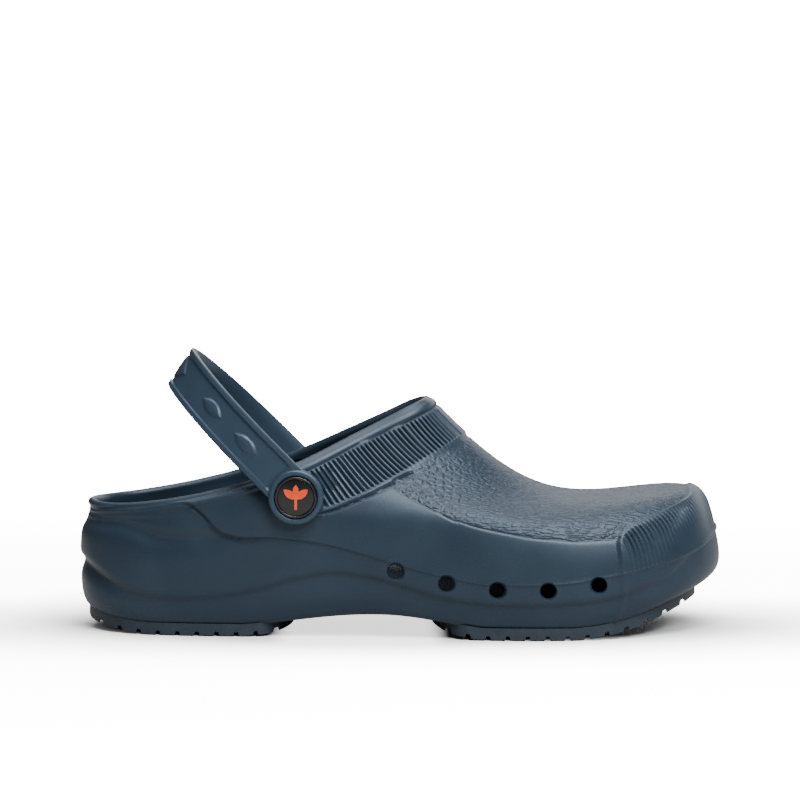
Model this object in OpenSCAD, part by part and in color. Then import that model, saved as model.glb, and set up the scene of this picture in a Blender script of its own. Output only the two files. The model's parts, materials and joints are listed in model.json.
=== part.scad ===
// Rubber garden clog, right foot: a moulded closed-toe body with a removable
// insole, two rubber outsole pads and a swivelling heel strap on two rivets.
// +X points to the toe, +Y to the inner side of the foot, +Z up, origin on the
// ground under the middle of the bounding box.

/* [Clog body] */
// Length from heel to toe
clog_length = 284.6; // [240:0.2:320]
// Width across the ball of the foot
clog_width = 108; // [94:1:124]
// Height of the throat crest above the ground
throat_height = 102.5; // [88:0.5:120]
// Thickness of the walls and of the vamp
wall = 4; // [3:0.1:5]
// Height of the footbed floor under the heel
heel_floor = 28; // [24:0.5:30]
// Height of the footbed floor under the ball of the foot
ball_floor = 12; // [10:0.5:14]
// How far the heel wall is pinched in between its two bulges
heel_pinch = 2; // [0:0.1:3]

/* [Vents] */
// Diameter of a ventilation hole
vent_d = 6.5; // [4:0.1:7.5]
// Number of ventilation holes on each side
vent_count = 5; // [2:1:6]
// Distance from one hole to the next along the clog
vent_pitch = 22; // [18:0.5:24]

/* [Insole] */
// Thickness of the removable insole
insole_t = 4.5; // [3:0.1:6]
// Gap between the insole and the walls
insole_gap = 0.8; // [0.4:0.1:2]

/* [Outsole] */
// Thickness of the rubber pads under the body
pad_t = 4.5; // [3.5:0.1:6]
// Depth of the grooves between the lugs
groove_depth = 2; // [1:0.1:2.5]
// Width of a groove
groove_w = 2; // [1:0.1:3]
// Distance from one lug to the next
lug_pitch = 8.6; // [7:0.1:12]
// How far the pads stand back from the edge of the body
pad_inset = 0.6; // [0.2:0.1:3]

/* [Strap] */
// Height of the strap's pivot above the ground
pivot_z = 62.3; // [58:0.1:66]
// Distance from the pivot to the middle of the strap's bend
strap_reach = 75; // [66:0.2:84]
// Width of the strap where it leaves the eye
strap_w = 19; // [15:0.1:21]
// Width of the strap at its bend
strap_bend_w = 19.5; // [14:0.5:21]
// Thickness of the strap
strap_t = 3.6; // [3:0.1:4.4]
// Diameter of the eye at each end of the strap
eye_d = 24; // [22:0.5:28]
// Angle of the strap above the horizontal, behind the pivot, at rest
strap_angle = 45; // [35:1:80]

/* [Rivets] */
// Diameter of a rivet's head
head_d = 18; // [16:0.5:18.5]
// Diameter of a rivet's shank
shank_d = 8; // [6:0.5:9]
// Diameter of the snap that locks a rivet inside the shoe
snap_d = 16; // [13:0.5:18]
// Radial gap between a shank and its bores
running_gap = 0.06; // [0.03:0.01:0.1]
// Gap between faces that slide past each other
face_gap = 0.3; // [0.2:0.05:0.5]

/* [Hidden] */
$fn = 64;

// The design size that the loops below are drawn at, and the scale to the size asked for
design = [284.6, 108, 102.5];
sx = clog_length / design.x;
sy = clog_width / design.y;
sz = throat_height / design.z;

// Columns round half of the body, rows up its outer face, rows across the lip and
// rows down the inner face
half_cols = 44;
outer_rows = 26;
lip_rows = 5;
inner_rows = 14;
cols = 2 * half_cols;

// Design loops of one half of the body from the sole up to the rim. Each is a row of
// [x, half-width, z] at thirteen stations from the middle of the heel to the toe. The
// sole's heights are above the pads: below zero it is flat.
sole_loop = [[-140, 0, 5.5], [-134.5, 17, 3.6], [-120.5, 28, 0.4], [-98, 33.5, -0.4],
    [-70, 36, -1], [-37, 36.5, 4], [0, 39.5, 7], [37, 46, -1.6], [69, 49.5, -0.6],
    [97, 47, 1.6], [117, 38, 10.5], [130, 22, 15], [134.5, 0, 16.5]];
bead_loop = [[-143.5, 0, 14], [-138.5, 19, 13.5], [-123.5, 31.5, 13], [-101, 37, 12.5],
    [-71.5, 39.5, 13], [-37, 41, 18], [0, 44, 20], [37, 50, 13], [71, 53.8, 11.5],
    [101, 51.2, 14], [124.5, 42, 19], [140, 24, 24], [145.2, 0, 26]];
waist_loop = [[-144, 0, 29], [-139, 19.3, 28], [-124, 32, 27], [-101.5, 37.8, 26.5],
    [-71.5, 40.3, 27], [-37, 41.8, 30], [0, 45, 30], [37, 51.5, 24], [71, 55, 22],
    [101.5, 52.4, 25], [125, 43.2, 30], [139.6, 25, 34.5], [144.7, 0, 36.5]];
upper_loop = [[-144, 0, 43], [-139, 19.3, 42], [-124, 32, 41.5], [-101.3, 37.8, 41.5],
    [-71.5, 41, 42], [-37, 42.6, 42], [-1, 45.2, 41], [36, 51, 37.5], [70, 54.3, 35.5],
    [100.5, 52, 38], [123, 42.7, 43], [136.5, 25, 48.5], [140.8, 0, 51]];
shoulder_loop = [[-141.5, 0, 50.4], [-136.8, 18.8, 49.8], [-122.8, 31, 49.5], [-100.8, 37.3, 50],
    [-71.5, 41.2, 51.5], [-39, 43, 52], [-5, 44.5, 52], [29, 48.5, 51.5], [61, 50.5, 50],
    [91, 47.5, 53], [113.5, 39.3, 60], [129.6, 23.3, 65], [135, 0, 66.8]];
vamp_loop = [[-140.5, 0, 51.8], [-136, 18.3, 51.4], [-122.4, 30.5, 51.4], [-100.8, 37, 52.2],
    [-72.5, 41.1, 54.9], [-42, 43, 56], [-13, 42.7, 57.5], [16, 43.5, 58.4], [42, 43, 56],
    [67, 38.5, 54.2], [86, 29.8, 56.4], [99.5, 16.5, 58.5], [104.5, 0, 58.9]];
instep_loop = [[-140, 0, 53], [-135.6, 18, 52.8], [-122.2, 30.2, 53.4], [-100.8, 36.7, 54.8],
    [-74, 41, 58.3], [-46, 42.3, 61.8], [-22, 40.8, 64], [1, 38, 66.4], [21, 33.8, 65],
    [38, 27.5, 62.9], [51, 19, 61.3], [58.5, 10, 60.2], [61, 0, 59.9]];
band_loop = [[-139.6, 0, 53.8], [-135.3, 17.8, 53.6], [-122.1, 29.9, 54.8], [-101, 36.3, 57.1],
    [-75, 40.5, 61.6], [-49, 41, 65.8], [-29, 38, 70.9], [-13, 33, 75.5], [0.5, 28, 79.4],
    [11, 22.5, 82.9], [20, 16.2, 86], [25.5, 8.6, 87.8], [27.2, 0, 88.4]];
rim_loop = [[-140.1, 0, 54.7], [-135.6, 17.8, 54.7], [-122, 29.7, 55.8], [-101.2, 35.8, 58.5],
    [-76, 39.7, 63.8], [-51.5, 38.5, 71.8], [-36, 33.5, 78.8], [-22, 26.5, 85.8],
    [-10, 21.8, 91.4], [1.5, 19.5, 96.6], [9, 15.8, 100.1], [12.9, 8.7, 101.7], [14, 0, 102.1]];
loops = [sole_loop, bead_loop, waist_loop, upper_loop, shoulder_loop, vamp_loop,
         instep_loop, band_loop, rim_loop];
stations = len(sole_loop) - 1;
last_loop = len(loops) - 1;

// Weights of a uniform cubic B-spline at the fraction f of a span
function weights(f) = [pow(1 - f, 3), 3 * pow(f, 3) - 6 * f * f + 4,
    -3 * pow(f, 3) + 3 * f * f + 3 * f + 1, pow(f, 3)] / 6;
// Point of the symmetric half net, mirrored past the heel and past the toe
function net(loop, k) = let(m = abs(k), far = m > stations, j = far ? 2 * stations - m : m,
    side = (k < 0 ? -1 : 1) * (far ? -1 : 1), p = loop[j]) [p.x * sx, side * p.y * sy, p.z * sz];
function net_point(loop, t) = let(i = floor(t), w = weights(t - i))
    w[0] * net(loop, i - 1) + w[1] * net(loop, i) + w[2] * net(loop, i + 1) + w[3] * net(loop, i + 2);
function sole_point(t) = let(p = net_point(sole_loop, t)) [p.x, p.y, pad_t + max(0, p.z)];
// Point of an open spline that starts and ends at its first and last points
function open_end(p, i) = i < 0 ? 2 * p[0] - p[1] :
    i >= len(p) ? 2 * p[len(p) - 1] - p[len(p) - 2] : p[i];
function spline(p, t) = let(i = min(floor(t), len(p) - 2), w = weights(t - i))
    w[0] * open_end(p, i - 1) + w[1] * open_end(p, i) + w[2] * open_end(p, i + 1)
    + w[3] * open_end(p, i + 2);
function lerp(a, b, f) = a + (b - a) * f;
function bell(d, width) = exp(-pow(d / width, 2));
function mirror_y(p) = [p.x, -p.y, p.z];

// Sideways swing of the body's centre line, which bends to the inner side at the toe
swing_line = [0, 0, 0, -0.7, -1.9, -2.4, -0.4, 3, 5.1];
function along(line, x) = spline(line, max(0, min(8, 8 * (x / clog_length + 0.5))));
function swing(x) = along(swing_line, x) * sy;
function swung(p) = [p.x, p.y + swing(p.x), p.z];

// Footbed floor: high under the heel, low under the ball, rising again to the toe
heel_share = [1, 1, 0.98, 0.78, 0.34, 0.05, 0, 0, 0];
toe_rise = [0, 0, 0, 0, 0, 0, 0.5, 3.5, 12];
function floor_z(x) = ball_floor + (heel_floor - ball_floor) * along(heel_share, x)
    + along(toe_rise, x);

// Crease that runs round the side wall above the lower bead: its height and depth
crease_line = [31, 13, 15, 30.5, 26, 12, 14, 20.5, 36];
crease_depth = [1, 0.9, 0.7, 0.45, 0.3, 0.3, 0.3, 0.4, 0.5];
function crease_z(x) = along(crease_line, x) * sz;

// Outer face of one half of the body, its outward normal and the moulded relief
function column(t) = [sole_point(t), for (i = [1:last_loop]) net_point(loops[i], t)];
function skin(t, v) = spline(column(t), v * last_loop);
function normal(t, v) = let(h = 0.02, k = 0.002, v0 = max(0, v - k), v1 = min(1, v + k),
    n = cross(skin(t, v1) - skin(t, v0), skin(t + h, v) - skin(t - h, v))) n / norm(n);
function relief(p) = -heel_pinch * along(crease_depth, p.x) * bell(p.z - crease_z(p.x), 4);
function outer(t, v) = let(p = skin(t, v)) p + normal(t, v) * relief(p);
function inner(t, v) = skin(t, v) - wall * normal(t, v);
// Lip: half a turn from the outer face over the rim to the inner face
function lip(t, turn) = let(n = normal(t, 1), up = skin(t, 1) - skin(t, 0.98), r = wall / 2)
    skin(t, 1) - r * n + r * (cos(turn) * n + sin(turn) * up / norm(up));
// Height along the spline where the outer face is as high as the foot of the inner wall
wall_foot = 4;
function foot_v(t, lo = 0, hi = 0.7, n = 14) = let(mid = (lo + hi) / 2, p = skin(t, mid))
    n == 0 ? mid : p.z < floor_z(p.x) + wall_foot ? foot_v(t, mid, hi, n - 1)
    : foot_v(t, lo, mid, n - 1);
function floor_edge(t) = let(v = foot_v(t), p = inner(t, v), n = normal(t, v),
    d = [n.x, n.y] / norm([n.x, n.y]), x = p.x - cove * d.x) [x, p.y - cove * d.y, floor_z(x)];
// How far the foot of the inner wall curves in over the floor
cove = 2;

// One half column of the closed shell: outer face, lip, inner face, floor edge
function shell_column(t) = let(foot = foot_v(t)) [
    for (j = [0:outer_rows]) outer(t, j / outer_rows),
    for (j = [1:lip_rows - 1]) lip(t, 180 * j / lip_rows),
    for (j = [0:inner_rows]) inner(t, lerp(1, foot, j / inner_rows)),
    floor_edge(t)];
// A ring of columns goes from the heel along the inner side to the toe and back
function ring_t(i) = stations * min(i, cols - i) / half_cols;
function ring(half) = [for (i = [0:cols - 1]) i <= half_cols ? half[i]
    : [for (p = half[cols - i]) mirror_y(p)]];
// Faces between the rows of a ring, and the ladders of flat strips that close its ends
function side_faces(rows) = [for (i = [0:cols - 1], j = [0:rows - 2])
    let(a = i * rows + j, b = ((i + 1) % cols) * rows + j) each [[a, b, b + 1], [a, b + 1, a + 1]]];
function ladder(rows, j, up) = [for (i = [0:half_cols - 1])
    let(a = i * rows + j, b = (i + 1) * rows + j, c = ((cols - i) % cols) * rows + j,
        d = (cols - i - 1) * rows + j,
        strip = a == c ? [a, d, b] : b == d ? [a, c, b] : [a, c, d, b])
    up ? [for (k = [len(strip) - 1:-1:0]) strip[k]] : strip];
module ring_solid(half) {
    rows = len(half[0]);
    polyhedron(points = [for (col = ring(half), p = col) swung(p)],
        faces = concat(side_faces(rows), ladder(rows, 0, false), ladder(rows, rows - 1, true)));
}
half_t = [for (i = [0:half_cols]) ring_t(i)];
sole_edge = [for (t = half_t) sole_point(t)];
floor_rim = [for (t = half_t) floor_edge(t)];

// Rivets and strap: how far each face stands from the middle plane
pivot_x = -44.7 * sx;
boss_d = 22;
boss_half = 43.6 * sy;
boss_t = 7.5;
eye_t = 4.6;
recess_t = 2;
recess_gap = 0.3;
head_t = 2.2;
snap_t = 3.6;
press_gap = 0.01;
bore_gap = 0.1;
seat_gap = 0.8;
seat_cut = 8;
bore_over = 4;
shank_inset = 1.2;
badge_sink = 1.2;
badge_d = head_d - 2;
badge_t = 0.8;
emblem_t = 0.4;
eye_face = boss_half + face_gap;
recess_face = eye_face + eye_t - recess_t;
head_face = recess_face + face_gap;
head_top = head_face + head_t;
badge_face = head_top - badge_sink;
snap_face = boss_half - boss_t;
snap_top = snap_face - snap_t;
shank_end = snap_top + shank_inset;

// Cylinder along Y on the pivot's axis between two distances from the middle plane
module on_pivot(side, near, far, d) {
    translate([pivot_x, side * near, pivot_z]) rotate([-90 * side, 0, 0])
        cylinder(d = d, h = far - near);
}

// Ventilation holes: a shallow curve along each side, just above the insole
vent_x0 = 42 * sx;
vent_dip_x = 54 * sx;
vent_near = 0.33 * clog_width;
vent_run = 0.25 * clog_width;
vent_over_insole = 2.2;
vent_rise = 0.0025;
function vent_x(i) = vent_x0 + (i - (vent_count - 1) / 2) * vent_pitch;
function vent_z(x) = ball_floor + insole_t + vent_d / 2 + vent_over_insole
    + vent_rise * pow(x - vent_dip_x, 2);

module clog_body() {
    color("#34516d") difference() {
        union() {
            ring_solid([for (t = half_t) shell_column(t)]);
            for (side = [-1, 1]) on_pivot(side, snap_face, boss_half, boss_d);
        }
        for (side = [-1, 1]) {
            on_pivot(side, snap_face - bore_over, boss_half + bore_over, shank_d + 2 * bore_gap);
            on_pivot(side, snap_face - seat_cut, snap_face, snap_d + 2 * seat_gap);
        }
        for (side = [-1, 1], i = [0:vent_count - 1])
            translate([vent_x(i), side * vent_near, vent_z(vent_x(i))])
                rotate([-90 * side, 0, 0]) cylinder(d = vent_d, h = vent_run, $fn = 32);
    }
}

// Insole: a flat bed on the footbed floor, a gap in from the cove
module insole() {
    lay_gap = 0.03;
    edge = [for (p = floor_rim) let(x = p.x * (1 - insole_gap / abs(floor_rim[0].x)))
        [x, p.y * (1 - insole_gap / (clog_width * 0.4)), floor_z(x) + lay_gap]];
    color("#2b4056") ring_solid([for (p = edge) [p, p + [0, 0, insole_t]]]);
}

// Outsole pads: the underside's own profile, cut to the plan of the sole's edge
edge_x_w = [for (p = sole_edge) [p.x, p.y]];
edge_x_z = [for (p = sole_edge) [p.x, p.z]];
function under_z(x) = lookup(x, edge_x_z);
// Quarter round of length r that ends a pad at x_end
function round_end(x, x_end, r) = let(u = max(0, 1 - abs(x - x_end) / r)) sqrt(1 - u * u);
function pad_half(x, x_end, r) = (lookup(x, edge_x_w) - pad_inset) * round_end(x, x_end, r);
module pad_slab(x0, x1, drop, rise) {
    inside = [for (p = edge_x_z) if (p.x > x0 && p.x < x1) p.x];
    xs = concat([x0], inside, [x1]);
    last = len(xs) - 1;
    rotate([90, 0, 0]) linear_extrude(height = 1.4 * clog_width, center = true)
        polygon(concat([for (x = xs) [x, under_z(x) - rise]],
            [for (i = [last:-1:0]) [xs[i], under_z(xs[i]) - drop]]));
}
module pad_plan(x0, x1, round_x, r) {
    steps = 60;
    xs = [for (i = [0:steps]) lerp(x0, x1, (1 - cos(180 * i / steps)) / 2)];
    side = [for (x = xs) [x, max(0.01, pad_half(x, round_x, r))]];
    linear_extrude(height = 60) polygon(concat(
        [for (p = side) [p.x, p.y + swing(p.x)]],
        [for (i = [steps:-1:0]) [side[i].x, swing(side[i].x) - side[i].y]]));
}
module outsole_pad(x0, x1, round_x, r) {
    first = x0 + lug_pitch * 0.7;
    count = floor((x1 - first) / lug_pitch);
    color("#161d27") intersection() {
        pad_plan(x0, x1, round_x, r);
        difference() {
            pad_slab(x0, x1, pad_t, 0);
            for (i = [0:count])
                let(a = first + i * lug_pitch, b = min(a + groove_w, x1 - 1))
                    if (b > a) pad_slab(a, b, pad_t + 5, pad_t - groove_depth);
        }
    }
}
heel_pad_x = [-138.5 * sx, -47 * sx];
ball_pad_x = [14 * sx, 131 * sx];
pad_round = 16;
module heel_outsole() {
    outsole_pad(heel_pad_x[0], heel_pad_x[1], heel_pad_x[1], pad_round);
}
module forefoot_outsole() {
    outsole_pad(ball_pad_x[0], ball_pad_x[1], ball_pad_x[0], pad_round);
}

// Strap: a band along a U, seen down the strap's width, r out from the pivot
strap_mid = eye_face + strap_t / 2;
strap_half = [[0, strap_mid], [10, strap_mid], [20, strap_mid], [33, strap_mid - 1.5],
    [47, strap_mid - 7], [60, strap_mid - 17], [70, strap_mid - 30]];
reach_scale = strap_reach / 75.4;
bend_over = 0.9;
strap_net = concat([for (p = strap_half) [p.x * reach_scale, p.y]], [[strap_reach + bend_over, 0]],
    [for (i = [len(strap_half) - 1:-1:0]) [strap_half[i].x * reach_scale, -strap_half[i].y]]);
strap_steps = 72;
strap_spans = len(strap_net) - 1;
strap_lean = 11;
strap_shift = 0.75;
function strap_at(t) = spline(strap_net, t);
// How far round the bend a point is: 0 on the straight arms, 1 at the middle of the bend
function bend_share(p) = pow(max(0, (p.x - eye_d / 2) / (strap_reach - eye_d / 2)), 2);
function strap_width(p) = lerp(strap_w, strap_bend_w, bend_share(p));
// Section of the band at t: a rectangle whose front edge leans outwards round the bend. The
// band is shifted forwards on its eyes by strap_shift.
function strap_section(t) = let(h = 0.01, p = strap_at(t),
    e = strap_at(min(strap_spans, t + h)) - strap_at(max(0, t - h)), inward = [e.y, -e.x] / norm(e),
    w = strap_width(p) / 2, lean = w * tan(strap_lean * bend_share(p)))
    [for (c = [[-1, -1], [1, -1], [1, 1], [-1, 1]])
        let(q = p + inward * (c[0] * strap_t / 2 + c[1] * lean)) [q.x, q.y, c[1] * w - strap_shift]];
module strap_band() {
    rings = [for (i = [0:strap_steps]) strap_section(strap_spans * i / strap_steps)];
    last = 4 * strap_steps;
    polyhedron(points = [for (r = rings, p = r) p], faces = concat(
        [[3, 2, 1, 0], [last, last + 1, last + 2, last + 3]],
        [for (i = [0:strap_steps - 1], k = [0:3]) let(a = 4 * i + k, b = 4 * i + (k + 1) % 4)
            each [[a, b + 4, a + 4], [a, b, b + 4]]]));
}
module heel_strap() {
    color("#34516d") difference() {
        union() {
            translate([pivot_x, 0, pivot_z]) rotate([0, 180 + strap_angle, 0]) strap_band();
            for (side = [-1, 1]) on_pivot(side, eye_face, eye_face + eye_t, eye_d);
        }
        for (side = [-1, 1]) {
            on_pivot(side, eye_face - 1, eye_face + eye_t + 1, shank_d + 2 * running_gap);
            on_pivot(side, recess_face, eye_face + eye_t + 1, head_d + 2 * recess_gap);
        }
    }
}

// A rivet: the button with its shank from outside, the snap from inside, and in the
// button's face a badge with a raised emblem of a seedling
module rivet_button(side) {
    color("#15181d") difference() {
        union() {
            on_pivot(side, head_face, head_top, head_d);
            on_pivot(side, shank_end, head_face + 0.5, shank_d);
        }
        on_pivot(side, badge_face, head_top + 1, badge_d);
    }
}
module rivet_snap(side) {
    color("#15181d") difference() {
        on_pivot(side, snap_top, snap_face, snap_d);
        on_pivot(side, shank_end - 0.2, snap_face + 1, shank_d + 2 * press_gap);
    }
}
module badge(side) {
    color("#0d0f12") on_pivot(side, badge_face, badge_face + badge_t, badge_d - 0.2);
}
// Leaf: the overlap of two round discs, its foot at the origin
module leaf(length, width) {
    r = (pow(length / 2, 2) + pow(width / 2, 2)) / width;
    intersection() {
        translate([r - width / 2, length / 2]) circle(r = r);
        translate([width / 2 - r, length / 2]) circle(r = r);
    }
}
module emblem(side) {
    color("#e8602c") translate([pivot_x, side * (badge_face + badge_t), pivot_z])
        rotate([90, 0, 0]) mirror([0, 0, side > 0 ? 1 : 0]) linear_extrude(height = emblem_t) {
            translate([-0.6, -5.2]) square([1.2, 6]);
            translate([0, -0.6]) rotate(52) leaf(6.6, 3.2);
            translate([0, -0.6]) rotate(-52) leaf(6.6, 3.2);
            translate([0, 0.3]) leaf(5.2, 2.6);
        }
}
module lateral_rivet_button() { rivet_button(-1); }
module lateral_rivet_snap() { rivet_snap(-1); }
module lateral_badge() { badge(-1); }
module lateral_emblem() { emblem(-1); }
module medial_rivet_button() { rivet_button(1); }
module medial_rivet_snap() { rivet_snap(1); }
module medial_badge() { badge(1); }
module medial_emblem() { emblem(1); }

clog_body();
insole();
heel_outsole();
forefoot_outsole();
heel_strap();
lateral_rivet_button();
lateral_rivet_snap();
lateral_badge();
lateral_emblem();
medial_rivet_button();
medial_rivet_snap();
medial_badge();
medial_emblem();
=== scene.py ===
"""Looks of a rubber garden clog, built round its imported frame.

The clog is a moulded foam body with a ribbed collar, a grained vamp and a toe cap, a
removable insole, two rubber outsole pads and a heel strap that swivels on two rivets.
Shapes are worked out in millimetres and written to the meshes in metres.
"""

import json
import logging
from dataclasses import dataclass
from enum import Enum

import bmesh
import bpy
import numpy as np
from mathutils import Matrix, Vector


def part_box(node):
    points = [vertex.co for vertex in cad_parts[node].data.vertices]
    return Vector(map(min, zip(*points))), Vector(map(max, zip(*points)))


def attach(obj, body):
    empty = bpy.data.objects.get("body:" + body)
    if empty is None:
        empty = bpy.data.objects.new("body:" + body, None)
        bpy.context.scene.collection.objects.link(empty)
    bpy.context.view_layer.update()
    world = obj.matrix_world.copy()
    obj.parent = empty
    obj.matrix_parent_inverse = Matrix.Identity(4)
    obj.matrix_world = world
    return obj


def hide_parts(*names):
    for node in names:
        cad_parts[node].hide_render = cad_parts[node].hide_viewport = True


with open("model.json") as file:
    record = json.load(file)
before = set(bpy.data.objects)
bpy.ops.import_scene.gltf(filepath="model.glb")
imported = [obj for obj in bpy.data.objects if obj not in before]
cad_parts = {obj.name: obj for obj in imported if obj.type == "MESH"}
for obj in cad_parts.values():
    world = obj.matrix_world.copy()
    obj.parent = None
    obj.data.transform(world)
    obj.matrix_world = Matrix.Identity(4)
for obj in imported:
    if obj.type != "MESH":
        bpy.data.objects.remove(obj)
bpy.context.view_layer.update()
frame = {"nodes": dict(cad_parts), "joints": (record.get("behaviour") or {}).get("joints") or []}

log = logging.getLogger("clog")
MM = 0.001
MERGE = 1e-6
PADS = (
    ("heel_pad", "heel_outsole", (-138.5, -47), -47),
    ("forefoot_pad", "forefoot_outsole", (14, 131), 14),
)
Array = np.ndarray


class Side(Enum):
    """The two sides of the clog, as signs along Y."""

    LATERAL = -1
    MEDIAL = 1


# ---------------------------------------------------------------- meshes


def make_object(
    name: str, points: Array, faces: list, smooth_angle: float = 40.0, grain: Array | None = None
) -> bpy.types.Object:
    """Puts points and faces into a new mesh object at the origin.

    Args:
        name: Name of the piece.
        points: Vertices in millimetres, one row each.
        faces: Lists of vertex indices.
        smooth_angle: Edges sharper than this many degrees stay sharp.
        grain: Share of leather grain at each vertex, kept as an attribute, if any.

    Returns:
        The new object, smooth shaded, with its doubles merged and faces outwards.
    """
    mesh = bpy.data.meshes.new(name)
    mesh.from_pydata((points * MM).tolist(), [], faces)
    if grain is not None:
        mesh.attributes.new("grain", "FLOAT", "POINT").data.foreach_set("value", grain.astype(np.float32))
    obj = bpy.data.objects.new(name, mesh)
    bpy.context.scene.collection.objects.link(obj)
    tidy_mesh(obj)
    shade(obj, smooth_angle)
    return obj


def tidy_mesh(obj: bpy.types.Object) -> None:
    """Merges doubles, drops empty faces and turns faces outwards.

    Args:
        obj: The mesh object.
    """
    bm = bmesh.new()
    bm.from_mesh(obj.data)
    bmesh.ops.remove_doubles(bm, verts=bm.verts, dist=MERGE)
    bmesh.ops.dissolve_degenerate(bm, edges=bm.edges, dist=MERGE / 10)
    bmesh.ops.recalc_face_normals(bm, faces=bm.faces)
    bm.to_mesh(obj.data)
    bm.free()


def shade(obj: bpy.types.Object, smooth_angle: float) -> None:
    """Shades smooth, apart from edges sharper than smooth_angle degrees."""
    obj.data.shade_smooth()
    obj.data.set_sharp_from_angle(angle=np.radians(smooth_angle))


def grid_faces(rows: int, cols: int, wrap_rows: bool, wrap_cols: bool) -> list:
    """Faces of a grid whose point (i, j) is number i * cols + j.

    Args:
        rows: Number of rows, i.
        cols: Number of columns, j.
        wrap_rows: Whether the last row joins the first.
        wrap_cols: Whether the last column joins the first.

    Returns:
        Four-sided faces as lists of point numbers.
    """
    i, j = np.meshgrid(
        np.arange(rows if wrap_rows else rows - 1),
        np.arange(cols if wrap_cols else cols - 1),
        indexing="ij",
    )
    i2, j2 = (i + 1) % rows, (j + 1) % cols
    quads = np.stack([i * cols + j, i2 * cols + j, i2 * cols + j2, i * cols + j2], -1)
    return quads.reshape(-1, 4).tolist()


def loft(name: str, rings: Array, smooth_angle: float) -> bpy.types.Object:
    """Solid through a row of rings, closed by a flat face at each end.

    Args:
        name: Name of the piece.
        rings: Points in millimetres, ring by ring.
        smooth_angle: Edges sharper than this many degrees stay sharp.

    Returns:
        The closed solid as an object.
    """
    count, n = rings.shape[:2]
    faces = grid_faces(count, n, False, True)
    faces += [list(range(n)), list(range((count - 1) * n, count * n))[::-1]]
    return make_object(name, rings.reshape(-1, 3), faces, smooth_angle)


def lathe(name: str, profile: Array, centre: Array, side: Side, steps: int = 96) -> bpy.types.Object:
    """Turns a profile about the axis through centre along Y.

    Args:
        name: Name of the piece.
        profile: Closed row of (radius, distance out from centre) in millimetres.
        centre: Point on the axis, in millimetres.
        side: The side that distances run out to.
        steps: Number of facets round the axis.

    Returns:
        The closed solid as an object.
    """
    angle = np.linspace(0, 2 * np.pi, steps, endpoint=False)[:, None]
    radius, out = profile[:, 0][None, :], profile[:, 1][None, :]
    points = np.stack(
        [
            centre[0] + radius * np.cos(angle),
            np.broadcast_to(centre[1] + side.value * out, (steps, len(profile))),
            centre[2] + radius * np.sin(angle),
        ],
        -1,
    ).reshape(-1, 3)
    return make_object(name, points, grid_faces(steps, len(profile), True, True), 30)


def rounded(profile: list, radii: list, steps: int = 6) -> Array:
    """Rounds the corners of a closed outline.

    Each corner becomes a quadratic curve between the points at its radius from it.

    Args:
        profile: Corners of the outline, (a, b) each.
        radii: One radius for each corner, 0 for a sharp one.
        steps: Points on each rounded corner.

    Returns:
        The points of the rounded outline.
    """
    corners = np.array(profile, float)
    points = []
    for k, corner in enumerate(corners):
        before, after = corners[k - 1] - corner, corners[(k + 1) % len(corners)] - corner
        if radii[k] == 0:
            points.append(corner[None])
            continue
        start = corner + before / np.linalg.norm(before) * radii[k]
        end = corner + after / np.linalg.norm(after) * radii[k]
        f = np.linspace(0, 1, steps)[:, None]
        points.append((1 - f) ** 2 * start + 2 * f * (1 - f) * corner + f**2 * end)
    return np.concatenate(points)


def combine(obj: bpy.types.Object, tool: bpy.types.Object, operation: str) -> None:
    """Joins or cuts obj with tool, and removes tool.

    Args:
        obj: The mesh object to change.
        tool: The closed mesh that is joined or cut away.
        operation: UNION or DIFFERENCE.
    """
    modifier = obj.modifiers.new("combine", "BOOLEAN")
    modifier.operation = operation
    modifier.solver = "MANIFOLD"
    modifier.object = tool
    evaluated = obj.evaluated_get(bpy.context.evaluated_depsgraph_get())
    mesh = bpy.data.meshes.new_from_object(evaluated)
    obj.modifiers.clear()
    old = obj.data
    obj.data = mesh
    mesh.name = obj.name
    bpy.data.meshes.remove(old)
    bpy.data.objects.remove(tool)


def smooth_step(x: Array) -> Array:
    """Rises smoothly from 0 at x = 0 to 1 at x = 1."""
    f = np.clip(x, 0, 1)
    return f * f * (3 - 2 * f)


def bell(x: Array) -> Array:
    """A bell curve: 1 at x = 0, falling as exp(-x squared)."""
    return np.exp(-x * x)


# ---------------------------------------------------------------- the body's surface


def weights(f: Array) -> Array:
    """Four weights of a uniform cubic B-spline at the fraction f of a span."""
    return np.stack([(1 - f) ** 3, 3 * f**3 - 6 * f * f + 4, -3 * f**3 + 3 * f * f + 3 * f + 1, f**3]) / 6


def slopes(f: Array) -> Array:
    """Rates of change of the four weights at the fraction f of a span."""
    return np.stack([-3 * (1 - f) ** 2, 9 * f * f - 12 * f, -9 * f * f + 6 * f + 3, 3 * f * f]) / 6


def open_ends(points: Array) -> Array:
    """Adds the phantom points that make an open spline start and end at its end points."""
    return np.concatenate([[2 * points[0] - points[1]], points, [2 * points[-1] - points[-2]]])


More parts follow.
